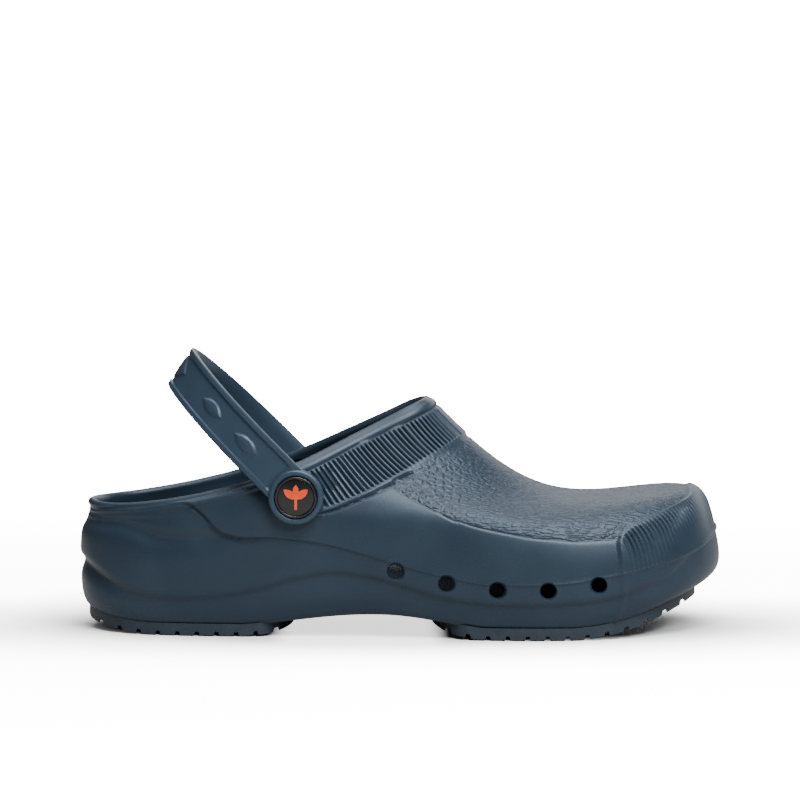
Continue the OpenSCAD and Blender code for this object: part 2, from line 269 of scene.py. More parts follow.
@dataclass
class ClogSurface:
    """Outer face of the body as a smooth net of loops from the sole up to the rim.

    A point is (t, v): t runs from 0 at the heel to 12 at the toe and on to 24, back round
    the other side, and v from 0 at the sole to 8 at the rim. Each loop has [x, half-width,
    z] at thirteen stations from the middle of the heel to the toe.
    """

    length: float = 284.6
    pad_t: float = 4.5
    wall: float = 4.0
    heel_floor: float = 28.0
    ball_floor: float = 12.0
    wall_foot: float = 4.0
    cove: float = 2.0
    swing_line: tuple = (0, 0, 0, -0.7, -1.9, -2.4, -0.4, 3, 5.1)
    heel_share: tuple = (1, 1, 0.98, 0.78, 0.34, 0.05, 0, 0, 0)
    toe_rise: tuple = (0, 0, 0, 0, 0, 0, 0.5, 3.5, 12)
    loops: tuple = (
        # sole: heights are above the pads
        ((-140, 0, 5.5), (-134.5, 17, 3.6), (-120.5, 28, 0.4), (-98, 33.5, -0.4), (-70, 36, -1),
         (-37, 36.5, 4), (0, 39.5, 7), (37, 46, -1.6), (69, 49.5, -0.6), (97, 47, 1.6),
         (117, 38, 10.5), (130, 22, 15), (134.5, 0, 16.5)),
        # lower bead
        ((-143.5, 0, 14), (-138.5, 19, 13.5), (-123.5, 31.5, 13), (-101, 37, 12.5),
         (-71.5, 39.5, 13), (-37, 41, 18), (0, 44, 20), (37, 50, 13), (71, 53.8, 11.5),
         (101, 51.2, 14), (124.5, 42, 19), (140, 24, 24), (145.2, 0, 26)),
        # waist
        ((-144, 0, 29), (-139, 19.3, 28), (-124, 32, 27), (-101.5, 37.8, 26.5), (-71.5, 40.3, 27),
         (-37, 41.8, 30), (0, 45, 30), (37, 51.5, 24), (71, 55, 22), (101.5, 52.4, 25),
         (125, 43.2, 30), (139.6, 25, 34.5), (144.7, 0, 36.5)),
        # upper
        ((-144, 0, 43), (-139, 19.3, 42), (-124, 32, 41.5), (-101.3, 37.8, 41.5), (-71.5, 41, 42),
         (-37, 42.6, 42), (-1, 45.2, 41), (36, 51, 37.5), (70, 54.3, 35.5), (100.5, 52, 38),
         (123, 42.7, 43), (136.5, 25, 48.5), (140.8, 0, 51)),
        # shoulder
        ((-141.5, 0, 50.4), (-136.8, 18.8, 49.8), (-122.8, 31, 49.5), (-100.8, 37.3, 50),
         (-71.5, 41.2, 51.5), (-39, 43, 52), (-5, 44.5, 52), (29, 48.5, 51.5), (61, 50.5, 50),
         (91, 47.5, 53), (113.5, 39.3, 60), (129.6, 23.3, 65), (135, 0, 66.8)),
        # vamp
        ((-140.5, 0, 51.8), (-136, 18.3, 51.4), (-122.4, 30.5, 51.4), (-100.8, 37, 52.2),
         (-72.5, 41.1, 54.9), (-42, 43, 56), (-13, 42.7, 57.5), (16, 43.5, 58.4), (42, 43, 56),
         (67, 38.5, 54.2), (86, 29.8, 56.4), (99.5, 16.5, 58.5), (104.5, 0, 58.9)),
        # instep
        ((-140, 0, 53), (-135.6, 18, 52.8), (-122.2, 30.2, 53.4), (-100.8, 36.7, 54.8),
         (-74, 41, 58.3), (-46, 42.3, 61.8), (-22, 40.8, 64), (1, 38, 66.4), (21, 33.8, 65),
         (38, 27.5, 62.9), (51, 19, 61.3), (58.5, 10, 60.2), (61, 0, 59.9)),
        # collar band
        ((-139.6, 0, 53.8), (-135.3, 17.8, 53.6), (-122.1, 29.9, 54.8), (-101, 36.3, 57.1),
         (-75, 40.5, 61.6), (-49, 41, 65.8), (-29, 38, 70.9), (-13, 33, 75.5), (0.5, 28, 79.4),
         (11, 22.5, 82.9), (20, 16.2, 86), (25.5, 8.6, 87.8), (27.2, 0, 88.4)),
        # rim
        ((-140.1, 0, 54.7), (-135.6, 17.8, 54.7), (-122, 29.7, 55.8), (-101.2, 35.8, 58.5),
         (-76, 39.7, 63.8), (-51.5, 38.5, 71.8), (-36, 33.5, 78.8), (-22, 26.5, 85.8),
         (-10, 21.8, 91.4), (1.5, 19.5, 96.6), (9, 15.8, 100.1), (12.9, 8.7, 101.7), (14, 0, 102.1)),
    )
    top: int = 8
    toe: int = 12

    def __post_init__(self) -> None:
        """Mirrors the half loops into whole rings of control points."""
        half = np.array(self.loops, float)
        self.ring = np.concatenate([half, half[:, -2:0:-1] * [1, -1, 1]], 1)

    def along(self, line: tuple, x: Array) -> Array:
        """Value at x of an open spline whose points are spread evenly along the clog.

        Args:
            line: The spline's values from the heel to the toe.
            x: Places along the clog, in millimetres.

        Returns:
            The values at x.
        """
        t = np.clip((len(line) - 1) * (x / self.length + 0.5), 0, len(line) - 1)
        i = np.minimum(np.floor(t).astype(int), len(line) - 2)
        w, p = weights(t - i), open_ends(np.array(line, float))
        return sum(w[k] * p[i + k] for k in range(4))

    def floor_z(self, x: Array) -> Array:
        """Height of the footbed floor: high at the heel, low at the ball, up to the toe."""
        rise = (self.heel_floor - self.ball_floor) * self.along(self.heel_share, x)
        return self.ball_floor + rise + self.along(self.toe_rise, x)

    def swung(self, points: Array) -> Array:
        """Points moved sideways by the swing of the centre line.

        Args:
            points: Points with x first and y second.

        Returns:
            The moved points.
        """
        moved = points.copy()
        moved[..., 1] += self.along(self.swing_line, points[..., 0])
        return moved

    def frame_at(self, t: Array, v: Array) -> tuple:
        """Point, derivatives and outward normal of the outer face.

        The point is the sum over four stations and four loops of the control points times
        their B-spline weights; the derivatives use the weights' rates of change.

        Args:
            t: Places round the clog.
            v: Places up the outer face, of the same shape.

        Returns:
            Points, their change with t, their change with v, and unit normals, unswung.
        """
        shape = t.shape
        t, v = t.ravel(), v.ravel()
        i = np.floor(t).astype(int)
        j = np.clip(np.floor(v).astype(int), 0, self.top - 1)
        wt, dt, wv, dv = weights(t - i), slopes(t - i), weights(v - j), slopes(v - j)
        count = self.ring.shape[1]
        place, place_t = (
            np.stack([sum(w[k][:, None] * self.ring[row][(i + k - 1) % count] for k in range(4))
                      for row in range(self.top + 1)])
            for w in (wt, dt)
        )
        flat = place[0, :, 2] < 0
        place[0, :, 2] = self.pad_t + np.maximum(0, place[0, :, 2])
        place_t[0, flat, 2] = 0
        place, place_t = open_ends(place), open_ends(place_t)
        rows = np.arange(len(t))
        p = sum(wv[k][:, None] * place[j + k, rows] for k in range(4))
        p_t = sum(wv[k][:, None] * place_t[j + k, rows] for k in range(4))
        p_v = sum(dv[k][:, None] * place[j + k, rows] for k in range(4))
        n = np.cross(p_v, p_t)
        n /= np.linalg.norm(n, axis=1)[:, None]
        return tuple(a.reshape(*shape, 3) for a in (p, p_t, p_v, n))

    def wall_foot_v(self, t: Array) -> Array:
        """The v where the outer face is as high as the foot of the inner wall.

        The place is halved in on: each pass keeps the half where the height is crossed.

        Args:
            t: Places round the clog.

        Returns:
            One v for each t.
        """
        low, high = np.zeros_like(t), np.full_like(t, 0.7 * self.top)
        for _ in range(14):
            middle = (low + high) / 2
            p = self.frame_at(t, middle)[0]
            below = p[:, 2] < self.floor_z(p[:, 0]) + self.wall_foot
            low, high = np.where(below, middle, low), np.where(below, high, middle)
        return (low + high) / 2

    def floor_edge(self, t: Array) -> Array:
        """Edge of the footbed floor: a cove in from the foot of the inner wall.

        Args:
            t: Places round the clog.

        Returns:
            Points of the edge, unswung.
        """
        p, _, _, n = self.frame_at(t, self.wall_foot_v(t))
        q = p - self.wall * n
        level = n[:, :2] / np.linalg.norm(n[:, :2], axis=1)[:, None]
        q[:, :2] -= self.cove * level
        q[:, 2] = self.floor_z(q[:, 0])
        return q


@dataclass
class SurfaceLine:
    """A line drawn on the outer face through a few (t, v) points."""

    surface: ClogSurface
    knots: tuple

    def v_at(self, t: Array) -> Array:
        """Height of the line at each t: a cubic through the knots with even slopes.

        Args:
            t: Places round the clog, from 0 to 12.

        Returns:
            The v of the line.
        """
        knots = np.array(self.knots, float)
        x, y = knots[:, 0], knots[:, 1]
        slope = np.gradient(y, x)
        k = np.clip(np.searchsorted(x, t) - 1, 0, len(x) - 2)
        h = x[k + 1] - x[k]
        f = np.clip((t - x[k]) / h, 0, 1)
        rise = y[k + 1] - y[k]
        a, b = slope[k] * h - rise, -slope[k + 1] * h + rise
        return (1 - f) * y[k] + f * y[k + 1] + f * (1 - f) * (a * (1 - f) + b * f)

    def distance(self, t: Array, v: Array, p_t: Array, p_v: Array) -> Array:
        """Distance from the line in millimetres, above zero on the rim's side of it.

        The gap in v is turned to millimetres by the surface's stretch along v, and divided
        by the line's steepness.

        Args:
            t: Places round the clog, from 0 to 12.
            v: Places up the face.
            p_t: Change of the point with t.
            p_v: Change of the point with v.

        Returns:
            Signed distances.
        """
        step = 0.02
        steep = (self.v_at(t + step) - self.v_at(t - step)) / (2 * step)
        up, round_ = np.linalg.norm(p_v, axis=-1), np.linalg.norm(p_t, axis=-1)
        gap = np.clip(v - self.v_at(t), -3, 3) * up
        return gap / np.sqrt(1 + (steep * up / round_) ** 2)


@dataclass
class Relief:
    """Moulded relief of the body: how far each point stands out from the smooth face."""

    surface: ClogSurface
    heel_pinch: float = 2.0
    crease: tuple = ((0, 2.15), (0.79, 2.14), (1.57, 1.81), (2.05, 1.49), (2.59, 1.21), (3.12, 1.15),
                     (3.66, 1.19), (4.25, 1.35), (4.88, 1.69), (5.18, 1.78), (5.45, 1.71),
                     (5.75, 1.55), (6.07, 1.28), (6.4, 1.07), (6.9, 1.02), (7.44, 1.11),
                     (7.96, 1.21), (8.89, 1.38), (9.28, 1.58), (9.64, 1.75), (10, 2.08), (12, 2.5))
    heel_wave: tuple = ((0, 4), (0.75, 4), (1.4, 4.1), (2.02, 4.05), (2.45, 3.63), (2.8, 3.3),
                        (3.15, 3.22), (3.48, 3.23), (4.2, 3.2), (12, 3.2))
    seam: tuple = ((0, 7.9), (3.02, 7.54), (3.4, 6.61), (3.52, 5.46), (3.65, 4.05), (3.77, 3.54),
                   (3.92, 3.34), (4.52, 3.26), (4.82, 3.17), (5.2, 2.99), (5.55, 2.71), (5.9, 2.43),
                   (6.25, 2.2), (6.6, 2.09), (6.95, 2.01), (7.35, 2.09), (8.07, 2.2), (8.75, 2.31),
                   (9.38, 2.36), (9.95, 2.42), (10.7, 2.47), (12, 2.6))
    cap_edge: tuple = ((8.7, 2.2), (8.84, 2.8), (8.9, 3.2), (9, 3.45), (9.25, 3.67), (9.53, 3.72),
                       (9.9, 3.76), (10.35, 3.8), (11.03, 3.84), (11.72, 3.95), (12, 3.97))
    band_foot: tuple = ((4.6, 4.6), (5.35, 5.07), (5.8, 5.53), (6.35, 5.96), (7.07, 6.38),
                        (8, 6.7), (9.1, 6.89), (10.8, 7.02), (12, 7.05))
    grain_edge: tuple = ((6.8, 6.3), (6.86, 5.09), (6.9, 4.5), (7.02, 4.18), (7.2, 3.95),
                         (7.48, 3.79), (7.75, 3.66), (8.05, 3.58), (8.35, 3.48), (8.7, 3.43),
                         (8.93, 3.4), (9.1, 3.5), (9.25, 3.67), (9.53, 3.72), (9.9, 3.76),
                         (10.35, 3.8), (11.03, 3.84), (11.72, 3.95), (12, 3.97))
    border_guide: tuple = ((0, 5.4), (3, 5), (4.6, 4.2), (5.35, 4), (6.2, 4), (6.8, 4.12), (7.02, 4.1))
    foot_guide: tuple = ((0, 6.9), (3, 6.6), (4.4, 5.5), (5, 5.05))
    border_depth: float = 0.35
    line_height: float = 0.38
    lip_depth: float = 4.3
    rib_pitch: float = 2.45
    rib_depth: float = 1.35
    cap_pitch: float = 2.05
    cap_height: float = 1.2
    cap_rib_depth: float = 1.1

    def guides(self, t: Array) -> list:
        """Heights that the rows of the grid keep to, so that each line runs along a row.

        Args:
            t: Places round the clog.

        Returns:
            The v of the sole, crease, seam, grain border, band foot and rim.
        """
        lines = (
            (*self.heel_wave[:-1], *self.seam[8:]),
            (*self.border_guide, *self.grain_edge[4:]),
            (*self.foot_guide, *self.band_foot[1:]),
        )
        seam, border, foot = (SurfaceLine(self.surface, knots).v_at(t) for knots in lines)
        crease = np.minimum(SurfaceLine(self.surface, self.crease).v_at(t), seam - 0.4)
        return [np.zeros_like(t), crease, seam, border, foot, np.full_like(t, self.surface.top)]

    def build(self, t: Array, v: Array, rib_phase: Array, cap_phase: Array, edge_s: Array) -> tuple:
        """Works out the relief on a grid of the half body.

        Args:
            t: Places round the clog, 0 to 12, columns first.
            v: Places up the face.
            rib_phase: Count of collar ribs up to each column.
            cap_phase: Count of toe cap ribs up to each column.
            edge_s: Distance of each point from the rim along its column, in millimetres.

        Returns:
            Points with their relief, normals, and the grain mask, all unswung.
        """
        p, p_t, p_v, n = self.surface.frame_at(t, v)

        def away(knots: tuple) -> Array:
            """Signed distance from one of the lines."""
            return SurfaceLine(self.surface, knots).distance(t, v, p_t, p_v)

        height = self.creases(t, away(self.crease), away(self.heel_wave))
        height += self.seam_step(t, away(self.seam), edge_s)
        height += self.toe_cap(t, v, away(self.cap_edge), cap_phase)
        height += self.collar(t, away(self.band_foot), rib_phase, edge_s)
        border = away(self.grain_edge)
        below_band = smooth_step((-1.2 - away(self.band_foot)) / 1.5)
        grain = smooth_step(border / 1.2 + 0.2) * below_band * smooth_step((t - 6.78) / 0.1)
        on_edge = below_band * smooth_step((t - 6.78) / 0.08) * smooth_step((9.1 - t) / 0.3)
        height -= self.border_depth * bell(border / 0.55) * on_edge
        height -= 0.12 * grain
        height -= 0.8 * bell(v * np.linalg.norm(p_v, axis=-1) / 1.1)
        fade_low = smooth_step(v * 4)
        height *= np.maximum(fade_low, 0.999 * (height < 0))
        return p + n * height[..., None], n, grain

    def creases(self, t: Array, low: Array, wave: Array) -> Array:
        """Crease above the lower bead and wave below the heel's rim.

        Each is a soft overhang: it falls away fast above its line and slowly below it.

        Args:
            t: Places round the clog.
            low: Distance from the crease.
            wave: Distance from the heel wave.

        Returns:
            The relief, below zero.
        """
        knots_t = (0, 0.8, 1.8, 3, 4, 5.2, 6.5, 8, 9.3, 10.1, 10.6)
        depths = (1.0, 1.0, 0.85, 0.6, 0.5, 0.62, 0.7, 0.6, 0.55, 0.25, 0)
        depth = self.heel_pinch * np.interp(t, knots_t, depths)
        reach = np.interp(t, (0, 2, 4), (4.2, 5.5, 7.5))
        fall = np.where(low > 0, bell(low / 2.0), bell(low / reach))
        crease = -depth * fall
        wave_depth = np.interp(t, (0, 0.6, 1.6, 2.6, 3.4, 4.2), (1.1, 1.4, 1.7, 1.6, 0.8, 0))
        return crease - wave_depth * np.where(wave > 0, bell(wave / 2.4), bell(wave / 5.0))

    def seam_step(self, t: Array, seam: Array, edge_s: Array) -> Array:
        """Step of the proud upper panel, and the thin parting line ahead of it.

        The panel rises over a millimetre at the seam and sinks back slowly above it.

        Args:
            t: Places round the clog.
            seam: Distance from the seam.
            edge_s: Distance from the rim.

        Returns:
            The relief.
        """
        step = np.interp(t, (3.0, 3.3, 4.2, 5.2, 6.5), (0.6, 1.25, 1.1, 0.55, 0.25))
        from_rim = np.minimum(smooth_step(edge_s / 3), smooth_step((t - 2.9) / 0.25))
        panel = smooth_step(seam / 1.1 + 0.5) * bell(np.maximum(seam - 3, 0) / 16)
        groove = np.interp(t, (4.2, 5.4), (0.35, 0.1)) * bell((seam + 0.8) / 0.8)
        panel = step * (panel - groove) * from_rim
        line = self.line_height * bell(seam / 0.5) * smooth_step((t - 4.2) / 0.6)
        return panel + line + 0.45 * smooth_step(t - 11) * bell(seam / 0.8)

    def toe_cap(self, t: Array, v: Array, edge: Array, phase: Array) -> Array:
        """Raised edge of the toe cap and the short ribs that hang from it.

        Args:
            t: Places round the clog.
            v: Places up the face.
            edge: Distance from the cap's edge, below zero inside the cap.
            phase: Count of ribs up to each column.

        Returns:
            The relief.
        """
        inside = smooth_step(-edge / 1.1 + 0.1)
        reach = smooth_step((t - 8.76) / 0.16)
        cap = self.cap_height * inside * bell(np.maximum(-edge, 0) / 15) * reach
        full = np.interp(t, (8.95, 9.1, 10.4, 10.95), (0, 1, 1, 0))
        length = np.interp(t, (8.9, 9.07, 9.3, 9.6, 10, 10.5, 11), (6, 12, 14, 12, 9, 6, 3))
        down = -edge - 1.8
        fade = smooth_step(down / 1.2) * bell(np.maximum(down, 0) / length * 1.2)
        ribs = bell((phase - np.round(phase)) / 0.22)
        return cap - self.cap_rib_depth * full * fade * ribs * (v > 2)

    def collar(self, t: Array, foot: Array, phase: Array, edge_s: Array) -> Array:
        """Rounded lip of the collar, the ribbed band below it and the step to the vamp.

        Args:
            t: Places round the clog.
            foot: Distance up from the line along the ends of the ribs.
            phase: Count of ribs up to each column.
            edge_s: Distance from the rim.

        Returns:
            The relief.
        """
        front = smooth_step((t - 5.02) / 0.3)
        lip_w = np.interp(t, (0, 2.6, 3.6, 5), (2.6, 2.6, 4.4, self.lip_depth))
        swell = np.interp(t, (0, 2.6, 3.6, 5), (0.35, 0.4, 0.65, 0.8))
        lip = swell * smooth_step((lip_w - edge_s) / 1.2) * smooth_step(edge_s / 2.2 + 0.2)
        lip_shadow = -0.35 * bell((edge_s - lip_w - 0.35) / 0.5)
        band = smooth_step((foot + 2.1) / 0.9) * smooth_step((edge_s - lip_w) / 0.6)
        groove = -0.65 * bell((foot + 2.3) / 0.6)
        border_ridge = 0.25 * bell((foot + 0.8) / 0.5)
        off = np.abs(phase - np.round(phase))
        scallop = 1.1 * (2 * off) ** 2
        ends = smooth_step((foot - 0.1 - scallop) / 0.8)
        ends = ends * smooth_step((edge_s - lip_w - 0.9 - scallop) / 0.8)
        crown = np.interp(t, (5.1, 5.3, 9.6, 10.9, 11.3), (0, 1, 1, 0.35, 0))
        ribs = -self.rib_depth * bell(off / 0.19) * ends * crown
        below_lip = 0.55 * band + groove + border_ridge + ribs
        return lip + lip_shadow * (0.35 + 0.65 * front) + front * below_lip


# ---------------------------------------------------------------- finishes


class Socket:
    """A node's output that adds Math nodes when it is used in an expression."""

    def __init__(self, shader: "Shader", output: bpy.types.NodeSocket) -> None:
        """Keeps the shader it belongs to and the output."""
        self.shader = shader
        self.output = output

    def _math(self, operation: str, a: "Socket | float", b: "Socket | float") -> "Socket":
        """Adds one Math node for values a and b."""
        return self.shader.node("ShaderNodeMath", {"operation": operation}, {0: a, 1: b})

    def __add__(self, other: "Socket | float") -> "Socket":
        """self + other."""
        return self._math("ADD", self, other)

    __radd__ = __add__

    def __mul__(self, other: "Socket | float") -> "Socket":
        """self * other."""
        return self._math("MULTIPLY", self, other)

    __rmul__ = __mul__

    def __sub__(self, other: "Socket | float") -> "Socket":
        """self - other."""
        return self._math("SUBTRACT", self, other)

    def __rsub__(self, other: "Socket | float") -> "Socket":
        """other - self."""
        return self._math("SUBTRACT", other, self)

    def clamp(self, low: float, high: float) -> "Socket":
        """self between low and high, mapped to 0 to 1.

        Args:
            low: What turns to 0.
            high: What turns to 1.

        Returns:
            The share, kept from 0 to 1.
        """
        return self.shader.node(
            "ShaderNodeMapRange",
            {"interpolation_type": "SMOOTHSTEP"},
            {"Value": self, "From Min": low, "From Max": high},
        )


class Shader:
    """Builds one material's nodes."""

    warp_scale: float = 240.0

    def __init__(self, name: str) -> None:
        """Starts an empty material."""
        self.material = bpy.data.materials.new(name)
        self.material.use_nodes = True
        self.tree = self.material.node_tree
        self.tree.nodes.clear()

    def node(self, kind: str, settings: dict, values: dict, output: int | str = 0) -> Socket:
        """Adds a node.

        Args:
            kind: The node's type name.
            settings: Attributes set first, such as a Math node's operation.
            values: Numbers, colours or Sockets for its inputs, by name or number.
            output: Name or number of the output wanted.

        Returns:
            The wanted output as a Socket.
        """
        made = self.tree.nodes.new(kind)
        for key, value in settings.items():
            setattr(made, key, value)
        for key, value in values.items():
            if isinstance(value, Socket):
                self.tree.links.new(value.output, made.inputs[key])
            else:
                made.inputs[key].default_value = value
        return Socket(self, made.outputs[output])

    def place(self) -> Socket:
        """Object coordinates."""
        return self.node("ShaderNodeTexCoord", {}, {}, "Object")

    def mapped(self, scale: tuple) -> Socket:
        """Object coordinates scaled."""
        return self.node("ShaderNodeMapping", {}, {"Vector": self.place(), "Scale": scale})

    def bent(self, reach: float, scale: tuple) -> Socket:
        """Object coordinates scaled, then pushed about by noise over reach metres.

        Args:
            reach: How far the noise pushes, in metres.
            scale: Scale along x, y and z.

        Returns:
            The coordinates.
        """
        warped = {"Vector": self.place(), "Scale": self.warp_scale}
        warp = self.node("ShaderNodeTexNoise", {}, warped, "Color")
        values = {0: warp, 1: (reach, reach, reach), 2: self.mapped(scale)}
        return self.node("ShaderNodeVectorMath", {"operation": "MULTIPLY_ADD"}, values)

    def noise(self, size: float, detail: float = 3.0) -> Socket:
        """Noise whose blobs are about size millimetres."""
        values = {"Vector": self.place(), "Scale": 1 / (size * MM), "Detail": detail, "Roughness": 0.55}
        return self.node("ShaderNodeTexNoise", {}, values)

    def cells(self, size: float, where: Socket | None = None, feature: str = "DISTANCE_TO_EDGE") -> Socket:
        """Distance pattern of irregular cells about size millimetres across.

        Args:
            size: Size of a cell, in millimetres.
            where: Coordinates of the pattern.
            feature: Which distance is measured.

        Returns:
            The distance.
        """
        where = where or self.place()
        values = {"Vector": where, "Scale": 1 / (size * MM)}
        return self.node("ShaderNodeTexVoronoi", {"feature": feature}, values)

    def attribute(self, name: str) -> Socket:
        """A number stored on the mesh."""
        return self.node("ShaderNodeAttribute", {"attribute_name": name}, {}, "Fac")

    def blend(self, factor: Socket | float, a: Socket | tuple, b: Socket | tuple) -> Socket:
        """Colour a turning to colour b as factor goes from 0 to 1.

        Args:
            factor: The share of b.
            a: The first colour.
            b: The second colour.

        Returns:
            The blended colour.
        """
        made = self.tree.nodes.new("ShaderNodeMix")
        made.data_type = "RGBA"
        ends = [s for s in made.inputs if s.type == "RGBA"]
        for socket, value in zip([made.inputs[0], *ends], [factor, a, b]):
            if isinstance(value, Socket):
                self.tree.links.new(value.output, socket)
            else:
                socket.default_value = value
        return Socket(self, next(s for s in made.outputs if s.type == "RGBA"))

    def bump(self, height: Socket, depth: float, base: Socket | None = None) -> Socket:
        """Bump of depth millimetres from a height of 0 to 1.

        Args:
            height: The height.
            depth: How far 1 stands above 0.
            base: The bump that this one is added to, if any.

        Returns:
            The bumped normal.
        """
        values = {"Height": height, "Distance": depth * MM, "Strength": 1.0}
        if base is not None:
            values["Normal"] = base
        return self.node("ShaderNodeBump", {}, values)

    def finish(
        self, color: Socket | tuple, roughness: Socket | float, normal: Socket | None = None, **constants
    ) -> bpy.types.Material:
        """Ends the material in a Principled shader.

        Args:
            color: Base colour, a tuple or Socket.
            roughness: Roughness, a number or Socket.
            normal: Bumped normal, if any.
            constants: Other sockets by name, with spaces as underscores.

        Returns:
            The material.
        """
        values = {"Base Color": color, "Roughness": roughness}
        if normal is not None:
            values["Normal"] = normal
        values.update({key.replace("_", " "): value for key, value in constants.items()})
        surface = self.node("ShaderNodeBsdfPrincipled", {}, values)
        end = self.tree.nodes.new("ShaderNodeOutputMaterial")
        self.tree.links.new(surface.output, end.inputs["Surface"])
        return self.material


@dataclass(frozen=True)
class MouldedFoam:
    """Satin moulded foam of the body: fine skin, flow mottling, and the vamp's leather grain, with painted
    shade in the grain's valleys.
    """

    name: str = "body_rubber"
    color: tuple = (0.012, 0.021, 0.034, 1)
    worn: tuple = (0.015, 0.026, 0.040, 1)
    valley_shade: tuple = (0.006, 0.012, 0.022, 1)
    sheen: tuple = (0.72, 0.86, 1.0, 1)
    roughness: float = 0.40
    grained: bool = True

    def build(self) -> bpy.types.Material:
        """Makes the material.

        The grain is the distance to the edges of cells, cut off at a third, which gives flat
        pebbles; towards the toe they give way to cells drawn out along the clog.

        Returns:
            The material.
        """
        s = Shader(self.name)
        mottling = s.noise(28, 2)
        fine = s.noise(0.55, 2)
        color = s.blend(mottling.clamp(0.35, 0.7), self.color, self.worn)
        rough = self.roughness + 0.10 * (mottling - 0.5) + 0.05 * (fine - 0.5)
        normal = s.bump(fine, 0.018)
        normal = s.bump(s.noise(7, 1), 0.05, normal)
        if self.grained:
            mask = s.attribute("grain")
            pebbles = s.cells(2.9, s.bent(0.0004, (0.9, 1.0, 1.15))).clamp(0.02, 0.34)
            creases = s.cells(1.5, s.bent(0.0014, (0.24, 1.0, 1.0))).clamp(0.0, 0.3) * 0.6
            ahead = s.node("ShaderNodeSeparateXYZ", {}, {"Vector": s.place()}, "X").clamp(0.0, 0.06)
            cover = pebbles * (1 - ahead) + creases * ahead
            relief = (0.86 * cover + 0.14 * s.noise(0.9, 2)) * mask
            normal = s.bump(relief, 0.36, normal)
            rough = rough + 0.04 * mask - 0.05 * relief
            # painted shade: the grain's valleys between pebbles and creases are darkened in colour
            color = s.blend((1 - cover) * mask * 0.5, color, self.valley_shade)
        return s.finish(color, rough, normal, IOR=1.45, Specular_Tint=self.sheen)


@dataclass(frozen=True)
class PlainRubber:
    """Rubber or plastic in one colour with a grain of its own size and depth."""

    name: str
    color: tuple
    worn: tuple
    roughness: float
    grain: float
    depth: float
    patch: float = 20.0
    ior: float = 1.48

    def build(self) -> bpy.types.Material:
        """Makes the material: noise grain in the bump, patches in colour and roughness.

        Returns:
            The material.
        """
        s = Shader(self.name)
        patches = s.noise(self.patch, 3)
        grain = s.noise(self.grain, 2)
        color = s.blend(patches.clamp(0.35, 0.7), self.color, self.worn)
        rough = self.roughness + 0.12 * (patches - 0.5) + 0.06 * (grain - 0.5)
        return s.finish(color, rough, s.bump(grain, self.depth), IOR=self.ior)


@dataclass(frozen=True)
class InsoleFoam:
    """Soft foam footbed with small round dimples, their hollows darkened by painted shade."""

    name: str = "insole_foam"
    color: tuple = (0.012, 0.021, 0.034, 1)
    # lighter tone of the dimples' rims and of the noise patches; the hollows keep color, a painted shade
    worn: tuple = (0.016, 0.027, 0.043, 1)

    def build(self) -> bpy.types.Material:
        """Makes the material.

        Returns:
            The material.
        """
        s = Shader(self.name)
        dimples = s.cells(4.2, feature="F1").clamp(0.12, 0.32)
        skin = s.noise(0.7, 3)
        # painted shade in the dimples' hollows; the 18 mm noise patches are the foam's own tone
        color = s.blend(dimples * 0.7 + 0.3 * s.noise(18), self.color, self.worn)
        normal = s.bump(dimples, 0.35, s.bump(skin, 0.04))
        return s.finish(color, 0.62 + 0.1 * (skin - 0.5), normal)


# ---------------------------------------------------------------- sub-assemblies


@dataclass
class Axle:
    """Where the strap's rivets stand, in millimetres, as distances from the middle plane."""

    gap: float = 0.3
    eye_t: float = 4.6
    head_t: float = 2.2
    badge_sink: float = 1.2

    def __post_init__(self) -> None:
        """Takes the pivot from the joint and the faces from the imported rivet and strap."""
        place = frame["joints"][0]["pos_m"]
        self.centre = np.array([place[0], 0.0, place[2]]) / MM
        button, snap = (self.size_of(f"lateral_rivet_{part}") for part in ("button", "snap"))
        self.head_top, self.head_r = button[0], button[2]
        self.snap_face, self.snap_top, self.snap_r = snap
        self.eye_top = self.size_of("heel_strap")[0]
        self.eye_face = self.eye_top - self.eye_t
        self.boss_face = self.eye_face - self.gap
        self.head_face = self.head_top - self.head_t
        self.recess_face = self.head_face - self.gap
        self.badge_face = self.head_top - self.badge_sink

    def size_of(self, node: str) -> tuple:
        """Outer and inner distance of a node from the middle plane, and half its height."""
        low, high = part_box(node)
        return -low.y / MM, -high.y / MM, (high.z - low.z) / (2 * MM)


